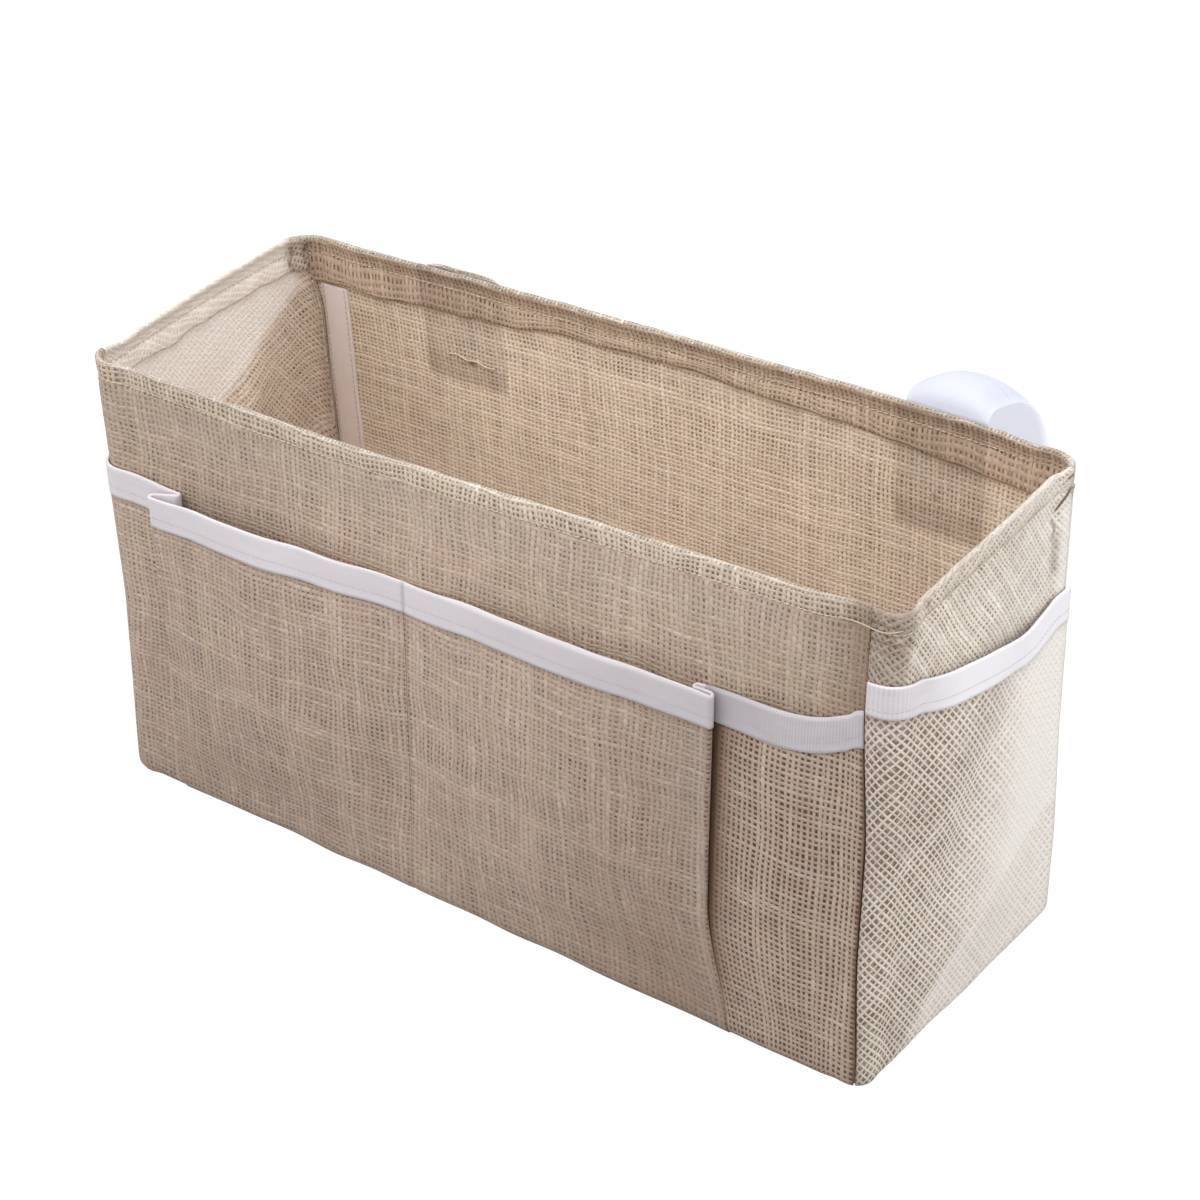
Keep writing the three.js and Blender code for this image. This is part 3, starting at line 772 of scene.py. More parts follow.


# Linens beside those of the settings: light yarns, dark yarns, painted shade in the holes, pitch as a share
# of the settings' pitch, and what differs in the weave. inside_mesh and left_inside_mesh are lighter copies
# of the linen, painted light for light that comes through the mesh; end_wall_mesh here and end_mesh below are
# lighter, greyer copies, painted light for the key light on the right end.
LINENS = {
    "open_mesh": ((208, 186, 169), (179, 155, 138), (70, 52, 40), 1.05,
                  {"upright": 0.54, "across": 0.54, "closing": 0.05, "evenness": 0.7, "wander": 0.4}),
    "hem_mesh": ((238, 219, 198), (202, 181, 160), (80, 62, 46), 0.97,
                 {"upright": 0.58, "across": 0.6, "closing": 0.12, "evenness": 0.5}),
    "inner_hem_mesh": ((222, 199, 177), (186, 163, 141), (84, 64, 48), 0.92,
                       {"upright": 0.64, "across": 0.64, "closing": 0.3}),
    "bead_mesh": ((214, 202, 188), (170, 154, 138), (84, 68, 54), 0.75,
                  {"closing": 0.25, "slub": 0.5, "bump": 1.0}),
    "end_bead_mesh": ((206, 195, 184), (180, 167, 154), (104, 90, 78), 0.7, {"closing": 0.5, "depth": 0.8}),
    "inside_mesh": ((254, 239, 219), (222, 200, 178), (114, 89, 69), 0.88,
                    {"upright": 0.6, "across": 0.64, "closing": 0.35, "wander": 0.6}),
    "left_inside_mesh": ((248, 232, 216), (222, 202, 182), (118, 94, 74), 1.0,
                         {"upright": 0.58, "across": 0.66, "closing": 0.3}),
    "end_wall_mesh": ((252, 242, 230), (214, 198, 180), (88, 70, 54), 1.05,
                      {"upright": 0.68, "across": 0.42, "closing": 0.15, "wander": 0.7}),
    "end_hem_mesh": ((238, 226, 212), (204, 190, 174), (92, 76, 62), 1.05,
                     {"upright": 0.6, "across": 0.62, "closing": 0.15, "evenness": 0.3}),
}


def linen_material(name, light, dark, hole, pitch, upright=0.72, across=0.66, closing=0.6, depth=1.0,
                   wander=1.0, bump=0.5, slub=0.22, evenness=0.15, fuller=0.0):
    """Linen mesh: yarns between two tones with paler slubs, holes painted darker as shade, the weave's low
    parts painted a little toward them, patina over all, and the weave's height as a bump. The point attribute
    shade paints shade, warmer where it is deep, and pale paints light, with yarns that are fuller by so much."""
    material, shader, b = new_material(name, 0.92, sheen=0.1)
    place = b.cloth()
    shade = b.painted("shade")
    pale = b.painted("pale")
    weave = group_node(b, "Open weave", {
        "Place": place, "Pitch": pitch, "Upright": b.scaled(pale, fuller, upright),
        "Across": b.scaled(pale, fuller, across), "Closing": closing, "Wander": wander,
        "Evenness": evenness})
    pale_tint = tuple(0.35 * c + 0.65 * w for c, w in zip(light, tint(240, 232, 226)))
    colour = b.mix(b.remap(weave["Tone"], 0.28, 0.72), dark, light)
    colour = b.mix(b.times(weave["Slub"], slub), colour, pale_tint)
    # Painted shade: the weave's low parts, and its holes, darkened toward the hole colour.
    colour = b.mix(b.remap(weave["Height"], 0.0, 0.6, 0.3, 0.0), colour, hole)
    colour = b.mix(b.times(weave["Hole"], depth), colour, hole)
    colour = group_node(b, "Cloth patina", {"Place": place, "Colour": colour})["Colour"]
    # Painted light from the pale attribute, then painted shade from the shade attribute, warmer where it is
    # deep.
    colour = b.mix(pale, colour, tint(250, 245, 240))
    colour = b.mix(b.times(shade, 0.8, clamp=True), colour, tint(74, 54, 38))
    colour = b.mix(b.remap(shade, 0.2, 0.6, 0.0, 0.22), colour, tint(150, 112, 84))
    b.set(shader.inputs["Base Color"], colour)
    b.relief(shader, weave["Height"], bump, 0.0006)
    return material


def ribbon_material(name, colour, rib):
    """Corded ribbon: fine upright ribs whose valleys are painted darker as shade, a soft random change of
    tone along it, and painted shade and light from the shade and pale attributes.
    """
    material, shader, b = new_material(name, 0.75, sheen=0.1)
    x, y, _ = b.parts(b.cloth())
    wave = b.math("SINE", b.times(b.divided(x, rib), 2 * math.pi))
    rows = b.math("SINE", b.times(y, 2 * math.pi / RIBBON_ROW))
    height = b.scaled(wave, 0.5, b.times(rows, 0.12))
    along = b.noise(b.joined(b.times(x, 0.05), b.times(y, 0.2)), 1.0, 2.0)["Fac"]
    # How strongly the ribs show, in relief and in the painted shade of their valleys.
    rib_strength = b.times(b.remap(along, 0.35, 0.65, 0.3), b.times(b.painted("ribbed"), 0.5))
    tone = b.mix(b.times(b.remap(wave, 1.0, -1.0), b.times(rib_strength, 0.7)), colour, tint(150, 148, 160))
    tone = b.mix(b.remap(along, 0.3, 0.8, 0.0, 0.1), tone, tint(190, 186, 196))
    # Painted shade from the shade attribute, then painted light from the pale attribute.
    tone = b.mix(b.times(b.painted("shade"), 0.9, clamp=True), tone, tint(120, 114, 120))
    tone = b.mix(b.painted("pale"), tone, tint(244, 242, 246))
    b.set(shader.inputs["Base Color"], tone)
    b.relief(shader, b.times(height, rib_strength), 0.5, 0.0004)
    return material


def tape_material(name, colour, relief=1.0):
    """Smooth woven tape: a very fine diagonal twill whose low parts are painted a little darker as shade, a
    faint mottle, and painted shade from the shade attribute. The point attribute glow is painted light: an
    emission for the light that comes through the thin tape."""
    material, shader, b = new_material(name, 0.6, sheen=0.15)
    place = b.cloth()
    x, y, _ = b.parts(place)
    slant = b.math("SINE", b.times(b.plus(x, b.times(y, 0.7)), 2 * math.pi / TWILL))
    cross = b.math("SINE", b.times(b.minus(x, y), 2 * math.pi / (TWILL * 0.8)))
    height = b.scaled(slant, 0.6, b.times(cross, 0.3))
    mottle = b.noise(place, 0.08, 3.0)["Fac"]
    tone = b.mix(b.remap(mottle, 0.3, 0.8, 0.0, 0.12), colour, tint(188, 188, 202))
    # Painted shade in the twill's low parts.
    tone = b.mix(b.remap(height, 0.9, -0.9, 0.0, 0.06 * relief), tone, tint(150, 150, 165))
    tone = b.mix(b.times(b.painted("shade"), 0.7, clamp=True), tone, tint(150, 148, 160))
    b.set(shader.inputs["Base Color"], tone)
    # Painted light: emission by the glow attribute.
    b.set(shader.inputs["Emission Color"], tint(240, 243, 255))
    b.set(shader.inputs["Emission Strength"], b.painted("glow"))
    b.relief(shader, height, 0.25 * relief, 0.0003)
    return material


def plain_material(name, colour, roughness, metallic=0.0):
    """Board, wire and thread: one colour with a fine mottle and a faint drawn grain."""
    material, shader, b = new_material(name, roughness, metallic=metallic)
    place = b.node("ShaderNodeTexCoord").outputs["Object"]
    mottle = b.noise(place, 900.0, 3.0)["Fac"]
    deep = tuple(c * 0.78 for c in colour[:3]) + (1.0,)
    b.set(shader.inputs["Base Color"], b.mix(b.remap(mottle, 0.3, 0.75), deep, colour))
    b.relief(shader, mottle, 0.2, 0.0002)
    return material


class CADDY_OT_materials(bpy.types.Operator):
    """Make the linen, ribbon, tape, board and wire finishes"""
    bl_idname = "caddy.materials"
    bl_label = "Materials"

    def execute(self, context):
        cloth, trim = context.scene.caddy_cloth, context.scene.caddy_trim
        open_weave_group()
        patina_group()
        wall_colours = tuple(cloth.wall_light), tuple(cloth.wall_dark), tuple(cloth.wall_hole)
        pocket_colours = tuple(cloth.pocket_light), tuple(cloth.pocket_dark), tuple(cloth.pocket_hole)
        linen_material("wall_mesh", *wall_colours, cloth.pitch)
        linen_material("pocket_mesh", *pocket_colours, cloth.pitch, evenness=0.25, fuller=-0.6)
        for name, (light, dark, hole, share, weave) in LINENS.items():
            linen_material(name, tint(*light), tint(*dark), tint(*hole), cloth.pitch * share, **weave)
        linen_material("end_mesh", tint(244, 232, 220), tint(226, 210, 196), tint(118, 97, 79), END_PITCH,
                       upright=0.37, across=0.35, closing=0.0, wander=0.14, bump=0.6, slub=0.1, evenness=0.55,
                       fuller=0.3)
        ribbon_material("ribbon_finish", tuple(trim.band), trim.rib)
        tape_material("tape_finish", tuple(trim.tape))
        tape_material("seam_tape_finish", tint(246, 233, 229))
        plain_material("seam_thread", tint(206, 194, 190), 0.8)
        tape_material("strap_finish", tint(180, 183, 195), relief=0.4)
        plain_material("linen_thread", tuple(cloth.thread), 0.8)
        plain_material("white_thread", tint(190, 188, 198), 0.7)
        plain_material("board_finish", tuple(trim.board), 0.6)
        plain_material("wire_finish", tuple(trim.steel), 0.32, metallic=1.0)
        return {"FINISHED"}


# Walls with their hems

def wall_profile():
    """The wall's cloth in section, outer face against rise: up from under the foot, over the
    wire, and down inside to the hem's stitches and its foot."""
    rim = rise_to(HEIGHT - ROLL_RADIUS)
    even = np.linspace(EDGE_RISE, rim, 126)[1:113]
    up = np.concatenate([np.linspace(0, EDGE_RISE, 9), even, np.linspace(even[-1], rim, 37)[1:]])
    turn = np.linspace(0, math.pi, 15)[1:]
    points = [np.stack([np.zeros_like(up), up], -1),
              np.stack([ROLL_RADIUS * (np.cos(turn) - 1), rim + ROLL_RADIUS * np.sin(turn)], -1)]
    down = np.linspace(0, 1, 8)[1:]
    points.append(np.stack([-2 * ROLL_RADIUS + (2 * ROLL_RADIUS + INNER_FACE) * ease(down * 1.6),
                            rim + (rise_to(STITCH_LEVEL) - rim) * down], -1))
    foot = np.linspace(0, 1, 9)[1:]
    points.append(np.stack([np.full(8, INNER_FACE) - 0.3 * np.sin(foot * math.pi),
                            rise_to(STITCH_LEVEL) + (rise_to(HEM_FOOT) - rise_to(STITCH_LEVEL)) * foot], -1))
    return np.concatenate(points)


def wall_columns(side):
    """Shares of the way to each seam, and how far each column is rolled in and drawn from it."""
    count = 224 if side % 2 == 0 else 92
    share = np.linspace(-1, 1, count)
    if side == RIGHT:
        share = np.concatenate([np.linspace(-1, 0.7, 74), np.linspace(0.7, 1, 45)[1:]])
        count = len(share)
    roll = np.array([2.4, 0.9, 0.22])
    near = np.array([0.15, 0.0, 0.05])
    shares = np.concatenate([np.full(3, -1.0), share, np.full(3, 1.0)])
    depth = np.concatenate([roll, np.zeros(count), roll[::-1]])
    pull = np.concatenate([near, np.full(1, 0.35), np.zeros(count - 2), np.full(1, 0.35), near[::-1]])
    return shares, depth, pull


def front_painted_shade(x, level, start, width, strength):
    """Painted shade: slow darkening of the front toward its right seam and its foot."""
    return strength * ease((x - start) / width) + 0.18 * ease((130 - level) / 110)


def leaf_foot(side, along):
    """How much higher or lower the hem's inner leaf ends, along the back."""
    if side != BACK:
        return 0 * along
    return np.interp(-along, (-215, -120, -60, 0, 100, 160, 205), (-7, -4, 1, 3, 0, -4, -6))


def left_crease(along):
    """Level of the diagonal crease across the left end."""
    return 176.3 - 0.57 * along


def shade_front(shade, along, level, gaps):
    """Painted shade: darker toward the right seam, the foot and the left."""
    shade += front_painted_shade(along, level, 130, 60, 0.2)
    shade += 0.34 * hump(gaps.near, 13) * (along > 0)
    shade += 0.12 * ease((-along - 60) / 90)


def shade_right(shade, along, level, gaps):
    """Painted shade: in the tucks beside the front seam and on the corner's dark side there, over the hem's
    inner leaf behind the mesh, in a small hole under the bead, and in the small slit, arch and folds at the
    back seam's top.
    """
    leaf_end = HEM_FOOT + billow(along, 0, 61 + RIGHT, 34)
    leaf = ease((STITCH_LEVEL - 1 - level) / 2) * ease((level - leaf_end) / 2.5)
    for height, depth, width in FRONT_TUCKS:
        shade += 0.3 * depth * np.exp(-((level - height) / width) ** 2 - (gaps.low / 14) ** 2)
    shade += 0.14 * hump(gaps.low, 30) + 0.36 * ease((20 - gaps.low - (245 - level) * 0.1) / 6)
    shade += 0.05 * leaf
    shade += 0.9 * np.exp(-((gaps.low - 29) / 2.0) ** 2 - ((level - 246) / 1.6) ** 2)
    slit = gaps.high - 1.5 - (239 - level) * 1.2
    shade += 1.3 * hump(slit, 1.3) * ease((level - 231) / 2) * ease((241 - level) / 2)
    shade += hump(level - 246, 0.9) * ease((5 - gaps.high) / 2)
    crook = (gaps.high - 11.5 - 1.5 * np.sin(level * 0.5)) / 1.5
    shade += 0.6 * np.exp(-crook ** 2) * ease((level - 216) / 6) * ease((231 - level) / 2)
    shade += 0.4 * hump(gaps.high - 9, 3.5) * ease((222 - level) / 4) * ease((level - 194) / 8)


def shade_back(shade, along, level, gaps):
    """Painted shade: where the straps' patches lie behind the mesh, darker at their foot and along their left
    edge, toward the wall's two sides, and in two small holes, one under the patch thread.
    """
    x = -along
    for strap in STRAPS.values():
        inside = ease((STRAP_WIDTH / 2 + 3.5 - np.abs(x - strap["place"])) / 1.4)
        low = HEIGHT - PATCH_HEIGHT
        shade += inside * ease((level - low) / 2) * (0.21 + 0.14 * ease((low + 17 - level) / 5))
        edge = hump(x - strap["place"] + STRAP_WIDTH / 2 + 3, 0.8)
        shade += 0.2 * edge * ease((level - low) / 4)
    shade += 0.12 * ease((along - 100) / 70) + 0.08 * ease((-along - 90) / 60)
    shade += 0.9 * np.exp(-((x + 117) / 2.6) ** 2 - ((level - 200) / 1.3) ** 2)
    shade += 0.7 * np.exp(-((x - 152) / 1.4) ** 2 - ((level - 205) / 1.3) ** 2)


def shade_left(shade, along, level, gaps):
    """Painted shade: below the diagonal crease, on its side away from the light, and near the back seam's top
    with the folds there.
    """
    shade += 0.18 * ease((left_crease(along) - level) / 10 + 0.5)
    shade += 0.22 * ease((17 - gaps.low) / 9) * ease((level - 228) / 3)
    for place in (1.5, 9.5):
        crook = gaps.low - place - 1.1 * np.sin(level * 0.5 + place)
        shade += 0.75 * hump(crook, 0.8) * ease((level - 229) / 3) * ease((247 - level) / 3)


def wall_shade(side, along, level):
    """Painted shade by place, from 0 on: in the seams, and what each side adds."""
    gaps = seam_gaps(side, level, along)
    shade = 0.14 * np.exp(-gaps.near / 1.6) * (side != LEFT)
    (shade_front, shade_right, shade_back, shade_left)[side](shade, along, level, gaps)
    return shade


def wall_pale(side, along, level):
    """Lightening by place: painted light at both ends, the right growing toward the back where the key light
    falls, the left most above its diagonal crease; and a little on the long sides: painted light on the back
    where its cloth wraps round the right corner and low down inside, and a little near the front's top."""
    gaps = seam_gaps(side, level, along)
    if side == RIGHT:
        strip = ease((8 - gaps.high) / 4) * ease((236 - level) / 5)
        return 0.04 + 0.3 * ease((along + 40) / 120) + 0.4 * strip
    if side == LEFT:
        hem = 0.3 + 0.7 * ease((15 - gaps.low) / 8)
        bright = 0.84 * ease((level - left_crease(along)) / 10 + 0.5) * ease((gaps.low - 2) / 9)
        return bright * (1 - hem * ease((level - 228) / 3))
    if side == FRONT:
        return 0.05 * ease((level - 205) / 20)
    # Painted light where the back's cloth wraps round the lit right corner, less on the hem.
    lit_share = 0.25 + 0.5 * ease((236 - level) / 4)
    ends = ease((-along - 213) / 5) * lit_share * (1 - 0.8 * hump(level - 48, 14))
    return ends + 0.14 * ease((190 - level) / 90) * (ends < 0.01)


def grain(side, line, v):
    """Cloth coordinates over a piece, from a line along it and the height up it: square on the
    long sides, and on the ends slanted, most near the front seam."""
    run = travelled(line)
    run = run - run[len(run) // 2]
    if side in (FRONT, BACK):
        return pairs(run + side * CLOTH_SHIFT, v)
    front = run - run[0] if side == RIGHT else run[-1] - run
    slope = END_GRAIN[0] + (END_GRAIN[1] - END_GRAIN[0]) * ease((front + 1) / 20)
    fall = np.concatenate([[0], np.cumsum(np.diff(run) * (slope[1:] + slope[:-1]) / 2)])
    sign = 1 if side == RIGHT else -1
    slid = END_DRAW * (v - sign * (fall - fall[len(fall) // 2]))
    return pairs(run + sign * END_SLANT * v + side * CLOTH_SHIFT, slid)


def wall_zones(side, profile, crest, back):
    """Finish of each face: wall, hem, roll, or the hem's inner leaf, whose cloth also wraps the
    top of the right end's back seam."""
    row = np.arange(len(profile) - 1)
    height = (profile[:-1, 1] + profile[1:, 1]) / 2
    zone = np.where(row > crest + 5, 3, np.where(height > rise_to(HEIGHT - 1.5), 2,
                                                 np.where(height > rise_to(STITCH_LEVEL - 0.4), 1, 0)))
    zone = np.broadcast_to(zone[:, None], back.shape)
    if side == RIGHT:
        wrapped = (back < 8.5) & (height[:, None] > rise_to(238 + 0.09 * back ** 2))
        wrapped &= (row <= crest + 5)[:, None]
        zone = np.where(wrapped, 3, zone)
    return zone


def make_wall(side, puckers):
    """One wall: its cloth with the hem folded over the wire, faces sorted by zone."""
    profile = wall_profile()
    shares, depth, pull = wall_columns(side)
    steps = unit(np.gradient(profile, axis=0))
    normal = np.stack([steps[:, 1], -steps[:, 0]], -1)
    rise = profile[:, 1][:, None]
    level = level_at(rise)
    along = shares * seam_along(side, level, shares) - np.sign(shares) * pull
    crest = int(np.argmax(profile[:, 1]))
    inner = (np.arange(len(profile)) > crest)[:, None]
    roll = depth * np.where(np.abs(profile[:, 1] - rise_to(HEIGHT)) < 9, 0.45, 1.0)[:, None]
    out = profile[:, 0][:, None] - roll * normal[:, 0][:, None]
    rise = rise - roll * normal[:, 1][:, None]
    away = np.where(inner, -1, 1)
    gaps = seam_gaps(side, level, along)
    puckers = puckers * (1 + 1.2 * np.exp(-gaps.near / 12))
    if side == RIGHT:
        near = hump(gaps.low, 14)
        for height, depth, width in FRONT_TUCKS:
            out -= near * depth * hump(level - height, width)
    if side in (LEFT, BACK):
        corner = (along < 0) if side == LEFT else (along > 0)
        fold = np.cos(2 * math.pi * gaps.near / 5.2 + 0.9 * np.sin(level * 0.55))
        out -= 0.65 * fold * hump(gaps.near, 11) * ease((level - 229) / 5) * corner * inner
    out += puckers * hump(level - STITCH_LEVEL, 7) * billow(along, level * 0.25, 71 + side, 13)
    out -= 0.4 * hump(level - STITCH_LEVEL, 1.6) * away
    leaf = inner * ease((STITCH_LEVEL - level) / 8)
    out -= leaf * 0.5 * (1 + billow(along, 0 * level, 51 + side, 22))
    rise += 0.12 * ease((level - HEIGHT + 9) / 6) * billow(along, 0 * level, 91 + side, 19)
    rise += leaf * (0.9 * billow(along, 0 * level, 61 + side, 34) + leaf_foot(side, along))
    points = wall(side, along, rise, out)
    cloth = grain(side, points[GRAIN_ROW], travelled(profile)[:, None])
    piece = add_grid(f"{SIDE_NAMES[side]}_wall", points, cloth)
    level = np.broadcast_to(level, along.shape)
    paint(piece, "shade", wall_shade(side, along, level))
    paint(piece, "pale", wall_pale(side, along, level))
    # The inner face takes the side's fifth finish, a lighter linen that is painted light for light through
    # the mesh.
    thicken(piece, CLOTH).modifiers[0].material_offset = 4
    for finish in WALL_FINISHES[side]:
        piece.data.materials.append(made(finish))
    zone = wall_zones(side, profile, crest, gaps.high[:-1, :-1])
    sort_faces(piece, zone)
    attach(piece, "bin")
    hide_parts(f"{SIDE_NAMES[side]}_panel", HEM_NAMES[side])
    return piece


def hem_line(side, outer):
    """Line of the hem's stitches on one face, and the directions out of the cloth there."""
    level = np.full(400, STITCH_LEVEL)
    along = np.linspace(-0.9 if side == BACK else -0.97, 0.93 if side == RIGHT else 0.97, 400)
    along = along * seam_along(side, level, along)
    out = -0.2 if outer else INNER_FACE + 0.2
    return wall_line(side, along, level, out, 1 if outer else -1)


class CADDY_OT_walls(bpy.types.Operator):
    """Make the four walls, each one cloth with its hem folded over the wire, and the stitches"""
    bl_idname = "caddy.walls"
    bl_label = "Walls and hems"

    def execute(self, context):
        cloth = context.scene.caddy_cloth
        low, high = seam_along(FRONT, 240.0, 1), seam_along(RIGHT, 240.0, -1)
        route = [(FRONT, low - 16, 241.3, 0.2), (FRONT, low - 9, 241.0, 0.6), (FRONT, low - 3, 240.8, 0.8),
                 (RIGHT, 3 - high, 241.0, 0.8), (RIGHT, 7 - high, 241.8, 0.6), (RIGHT, 11 - high, 243.0, 0.3)]
        spots = [wall(side, along, rise_to(level), out) for side, along, level, out in route]
        finish_piece(thread("loose_thread", spots, 0.26), "linen_thread")
        spots = [wall(BACK, -x, rise_to(level), -CLOTH - 0.25) for x, level in (
            (-131, 201.8), (-126, 202.6), (-120, 201.0), (-114, 201.6), (-108, 200.2), (-102, 200.6))]
        finish_piece(thread("patch_thread", spots, 0.45), "linen_thread")
        for side in range(4):
            make_wall(side, cloth.puckers)
            for outer in (True, False):
                line, normals = hem_line(side, outer)
                face = "outer" if outer else "inner"
                run = stitches(f"{HEM_NAMES[side]}_stitches_{face}", line, normals,
                               pitch=3.4, reach=3.2, radius=0.34, seed=side)
                finish_piece(run, "linen_thread")
        return {"FINISHED"}


# Base and seam tapes

class CADDY_OT_base(bpy.types.Operator):
    """Make the underside, the lining, and the tapes over the seams inside"""
    bl_idname = "caddy.base"
    bl_label = "Base and seam tapes"

    def execute(self, context):
        for name, low, thickness, facing in (("bottom_panel", 0.0, 0.9, -1), ("bottom_lining", 4.7, 0.9, 1)):
            rim = all_round(0, 59, 29, lambda side, along: np.stack(plan(side, along, 0, -EDGE - 0.4), -1))
            shares = np.linspace(0, 1, 40) ** 0.7
            end = (BASE_LENGTH - BASE_DEPTH) / 2
            spine = np.clip(rim, [-end, 0], [end, 0])
            flat = spine[None] + (rim - spine)[None] * shares[:, None, None]
            dish = 0.35 * billow(flat[..., 0], flat[..., 1], 5, 70) * (1 - shares[:, None] ** 4)
            z = low + (dish if facing > 0 else np.abs(dish) * 0.4)
            points = np.concatenate([flat, z[..., None]], -1)
            if facing > 0:
                points = points[::-1]
                flat = flat[::-1]
            piece = add_grid(f"{name}_cloth", points, flat + BASE_SHIFT, ring=True)
            thicken(piece, thickness)
            finish_piece(piece, "wall_mesh", replaces=(name,))
        for corner in (("front_left", FRONT, -1), ("front_right", FRONT, 1),
                       ("back_right", RIGHT, 1), ("back_left", BACK, 1)):
            self.binding(*corner)
        self.foot_tape()
        return {"FINISHED"}

    def binding(self, name, side, end):
        """Tape beside a corner seam, a hair inside the walls, with its two rows of stitches."""
        level = np.linspace(15, HEM_FOOT - (8 if name == "back_left" else 0.6), 90)[:, None]
        share = np.linspace(0, 1, 9)
        seam = seam_along(side, np.minimum(level, HEM_DRAWN) if side == BACK else level, end)
        edge = 0.5 * billow(level, 0, 23 + side + end, 60)
        along = end * (seam - (BINDING_INSET + share * BINDING_WIDTH + edge))
        out = TAPE_FACE - 0.25 - 0.5 * np.sin(share * math.pi) * (0.6 + 0.4 * billow(level, share, 9, 50))
        points = wall(side, along, rise_to(level), out)
        uv = pairs(share * BINDING_WIDTH, level)
        if end > 0:
            points, uv = points[:, ::-1], uv[:, ::-1]
        piece = add_grid(f"seam_tape_{name}", points[:, ::-1], uv[:, ::-1])
        # Painted shade along the tape's edge beside the seam.
        paint(piece, "shade", np.broadcast_to(0.08 * np.exp(-share * 5), points.shape[:2]))
        thicken(piece, TAPE_THICKNESS)
        finish_piece(piece, "seam_tape_finish", replaces=(f"corner_binding_{name}",))
        for place in (BINDING_STITCH, BINDING_WIDTH - BINDING_STITCH):
            line_along = end * (seam[:, 0] - (BINDING_INSET + place))
            line, normals = wall_line(side, line_along, level[:, 0], TAPE_FACE - 0.75, -1)
            run = stitches(f"seam_tape_stitches_{name}_{int(place)}", line, normals,
                           pitch=3.2, reach=2.4, radius=0.22, height=0.3)
            finish_piece(run, "seam_thread")

    def foot_tape(self):
        """Tape round the foot seam, a hair inside the walls."""
        level = np.linspace(EDGE, FOOT_TAPE_TOP, 6)[:, None]
        rise = rise_to(level)
        ring = all_round(level, 89, 39, lambda side, along: wall(side, along, rise, TAPE_FACE - 0.2))
        uv = pairs(np.arange(ring.shape[1]) * 5.0, level - EDGE)
        piece = add_grid("foot_tape", ring[::-1], uv[::-1], ring=True)
        thicken(piece, TAPE_THICKNESS)
        finish_piece(piece, "tape_finish", replaces=("base_seam_binding",))


# Pockets

def swell(share):
    """Share of a pocket's swell at a share of its height: a sine, most near the mouth, held
    flat to the wall at the foot."""
    return np.sin(np.clip(share / SWELL_PEAK, 0, 2) * QUARTER) * ease(share / 0.22)


Turns = namedtuple("Turns", "low high flat left right step swell")


def front_turns(level):
    """Driving distances of the front pocket's path at a level: its two seams, the straight, the
    pleats' outer edges, their step and the swell."""
    share = level / FRONT_MOUTH
    square = straight_half(FRONT, level) + outline(level)[1] * QUARTER * NEAR_SHARE - 0.3
    left = LEFT_PLEAT - square
    right = square - (RIGHT_PLEAT_FOOT + (RIGHT_PLEAT - RIGHT_PLEAT_FOOT) * ease(2.6 * share))
    step = PLEAT_FOOT_STEP + (PLEAT_STEP - PLEAT_FOOT_STEP) * share
    return Turns(seam_along(FRONT, level, -1) - 0.3, seam_along(FRONT, level, 1) - 0.3,
                 straight_half(FRONT, level), left, right, step, swell(share))


def front_path(level):
    """The front pocket in plan at each level: flat on the wall, a knife pleat, a swelling run
    to the divider and another on, a second pleat, and a last run to the seam. Returns the
    distance along the wall and out of it, and for each column how free its cloth is."""
    alongs, outs, frees = [], [], []

    def add(s, shape, free=0.0):
        first = sum(part.shape[1] for part in alongs)
        here = level[:, first:first + len(s)] if level.shape[1] > 1 else level
        along, out = shape(s, front_turns(here))
        size = (level.shape[0], len(s))
        for store, value in ((alongs, along), (outs, out), (frees, free * np.sin(s * math.pi))):
            store.append(np.broadcast_to(value, size))

    def span(start, end, s):
        return start + (end - start) * s

    def fall(s, swelling):
        return s ** (6 - 5 * np.minimum(swelling * 2, 1))

    def steps(count, whole=False):
        return np.linspace(0, 1, count + 1)[0 if whole else 1:]

    def chamber(start, end, s, near, t):
        lift = 2 * t.step * fall(near, t.swell)
        return span(start, end, s), NEAR + lift + 6 * t.swell * np.sin(s * math.pi)

    turn = np.linspace(0, math.pi, 12)[1:-1]
    add(steps(8, True), lambda s, t: (span(-t.low, -t.flat, s), NEAR))
    add(steps(14), lambda s, t: (span(-t.flat, t.left + PLEAT_DEPTH, s), NEAR))
    add(turn, lambda s, t: (
        t.left + PLEAT_DEPTH + t.step / 2 * np.sin(s), NEAR + t.step / 2 * (1 - np.cos(s))))
    add(steps(8, True), lambda s, t: (span(t.left + PLEAT_DEPTH, t.left, s), NEAR + t.step))
    add(turn, lambda s, t: (
        t.left - t.step / 2 * np.sin(s), NEAR + t.step + t.step / 2 * (1 - np.cos(s))))
    add(steps(78, True), lambda s, t: chamber(t.left, DIVIDER, s, 1 - s, t), 1.0)
    add(steps(92), lambda s, t: chamber(DIVIDER, t.right, s, s, t), 1.0)
    add(turn, lambda s, t: (
        t.right + t.step / 2 * np.sin(s), NEAR + t.step + t.step / 2 * (1 + np.cos(s))))
    add(steps(8, True), lambda s, t: (span(t.right, t.right - RIGHT_PLEAT_DEPTH, s), NEAR + t.step))
    add(turn, lambda s, t: (
        t.right - RIGHT_PLEAT_DEPTH - t.step / 2 * np.sin(s), NEAR + t.step / 2 * (1 + np.cos(s))))
    add(steps(8, True), lambda s, t: (span(t.right - RIGHT_PLEAT_DEPTH, t.right, s), NEAR))
    add(steps(34), lambda s, t: (span(t.right, t.flat, s), NEAR + 4 * t.swell * np.sin(s * math.pi)), 0.7)
    add(steps(8), lambda s, t: (span(t.flat, t.high, s), NEAR))
    return np.concatenate(alongs, axis=1), np.concatenate(outs, axis=1), np.concatenate(frees, axis=1)


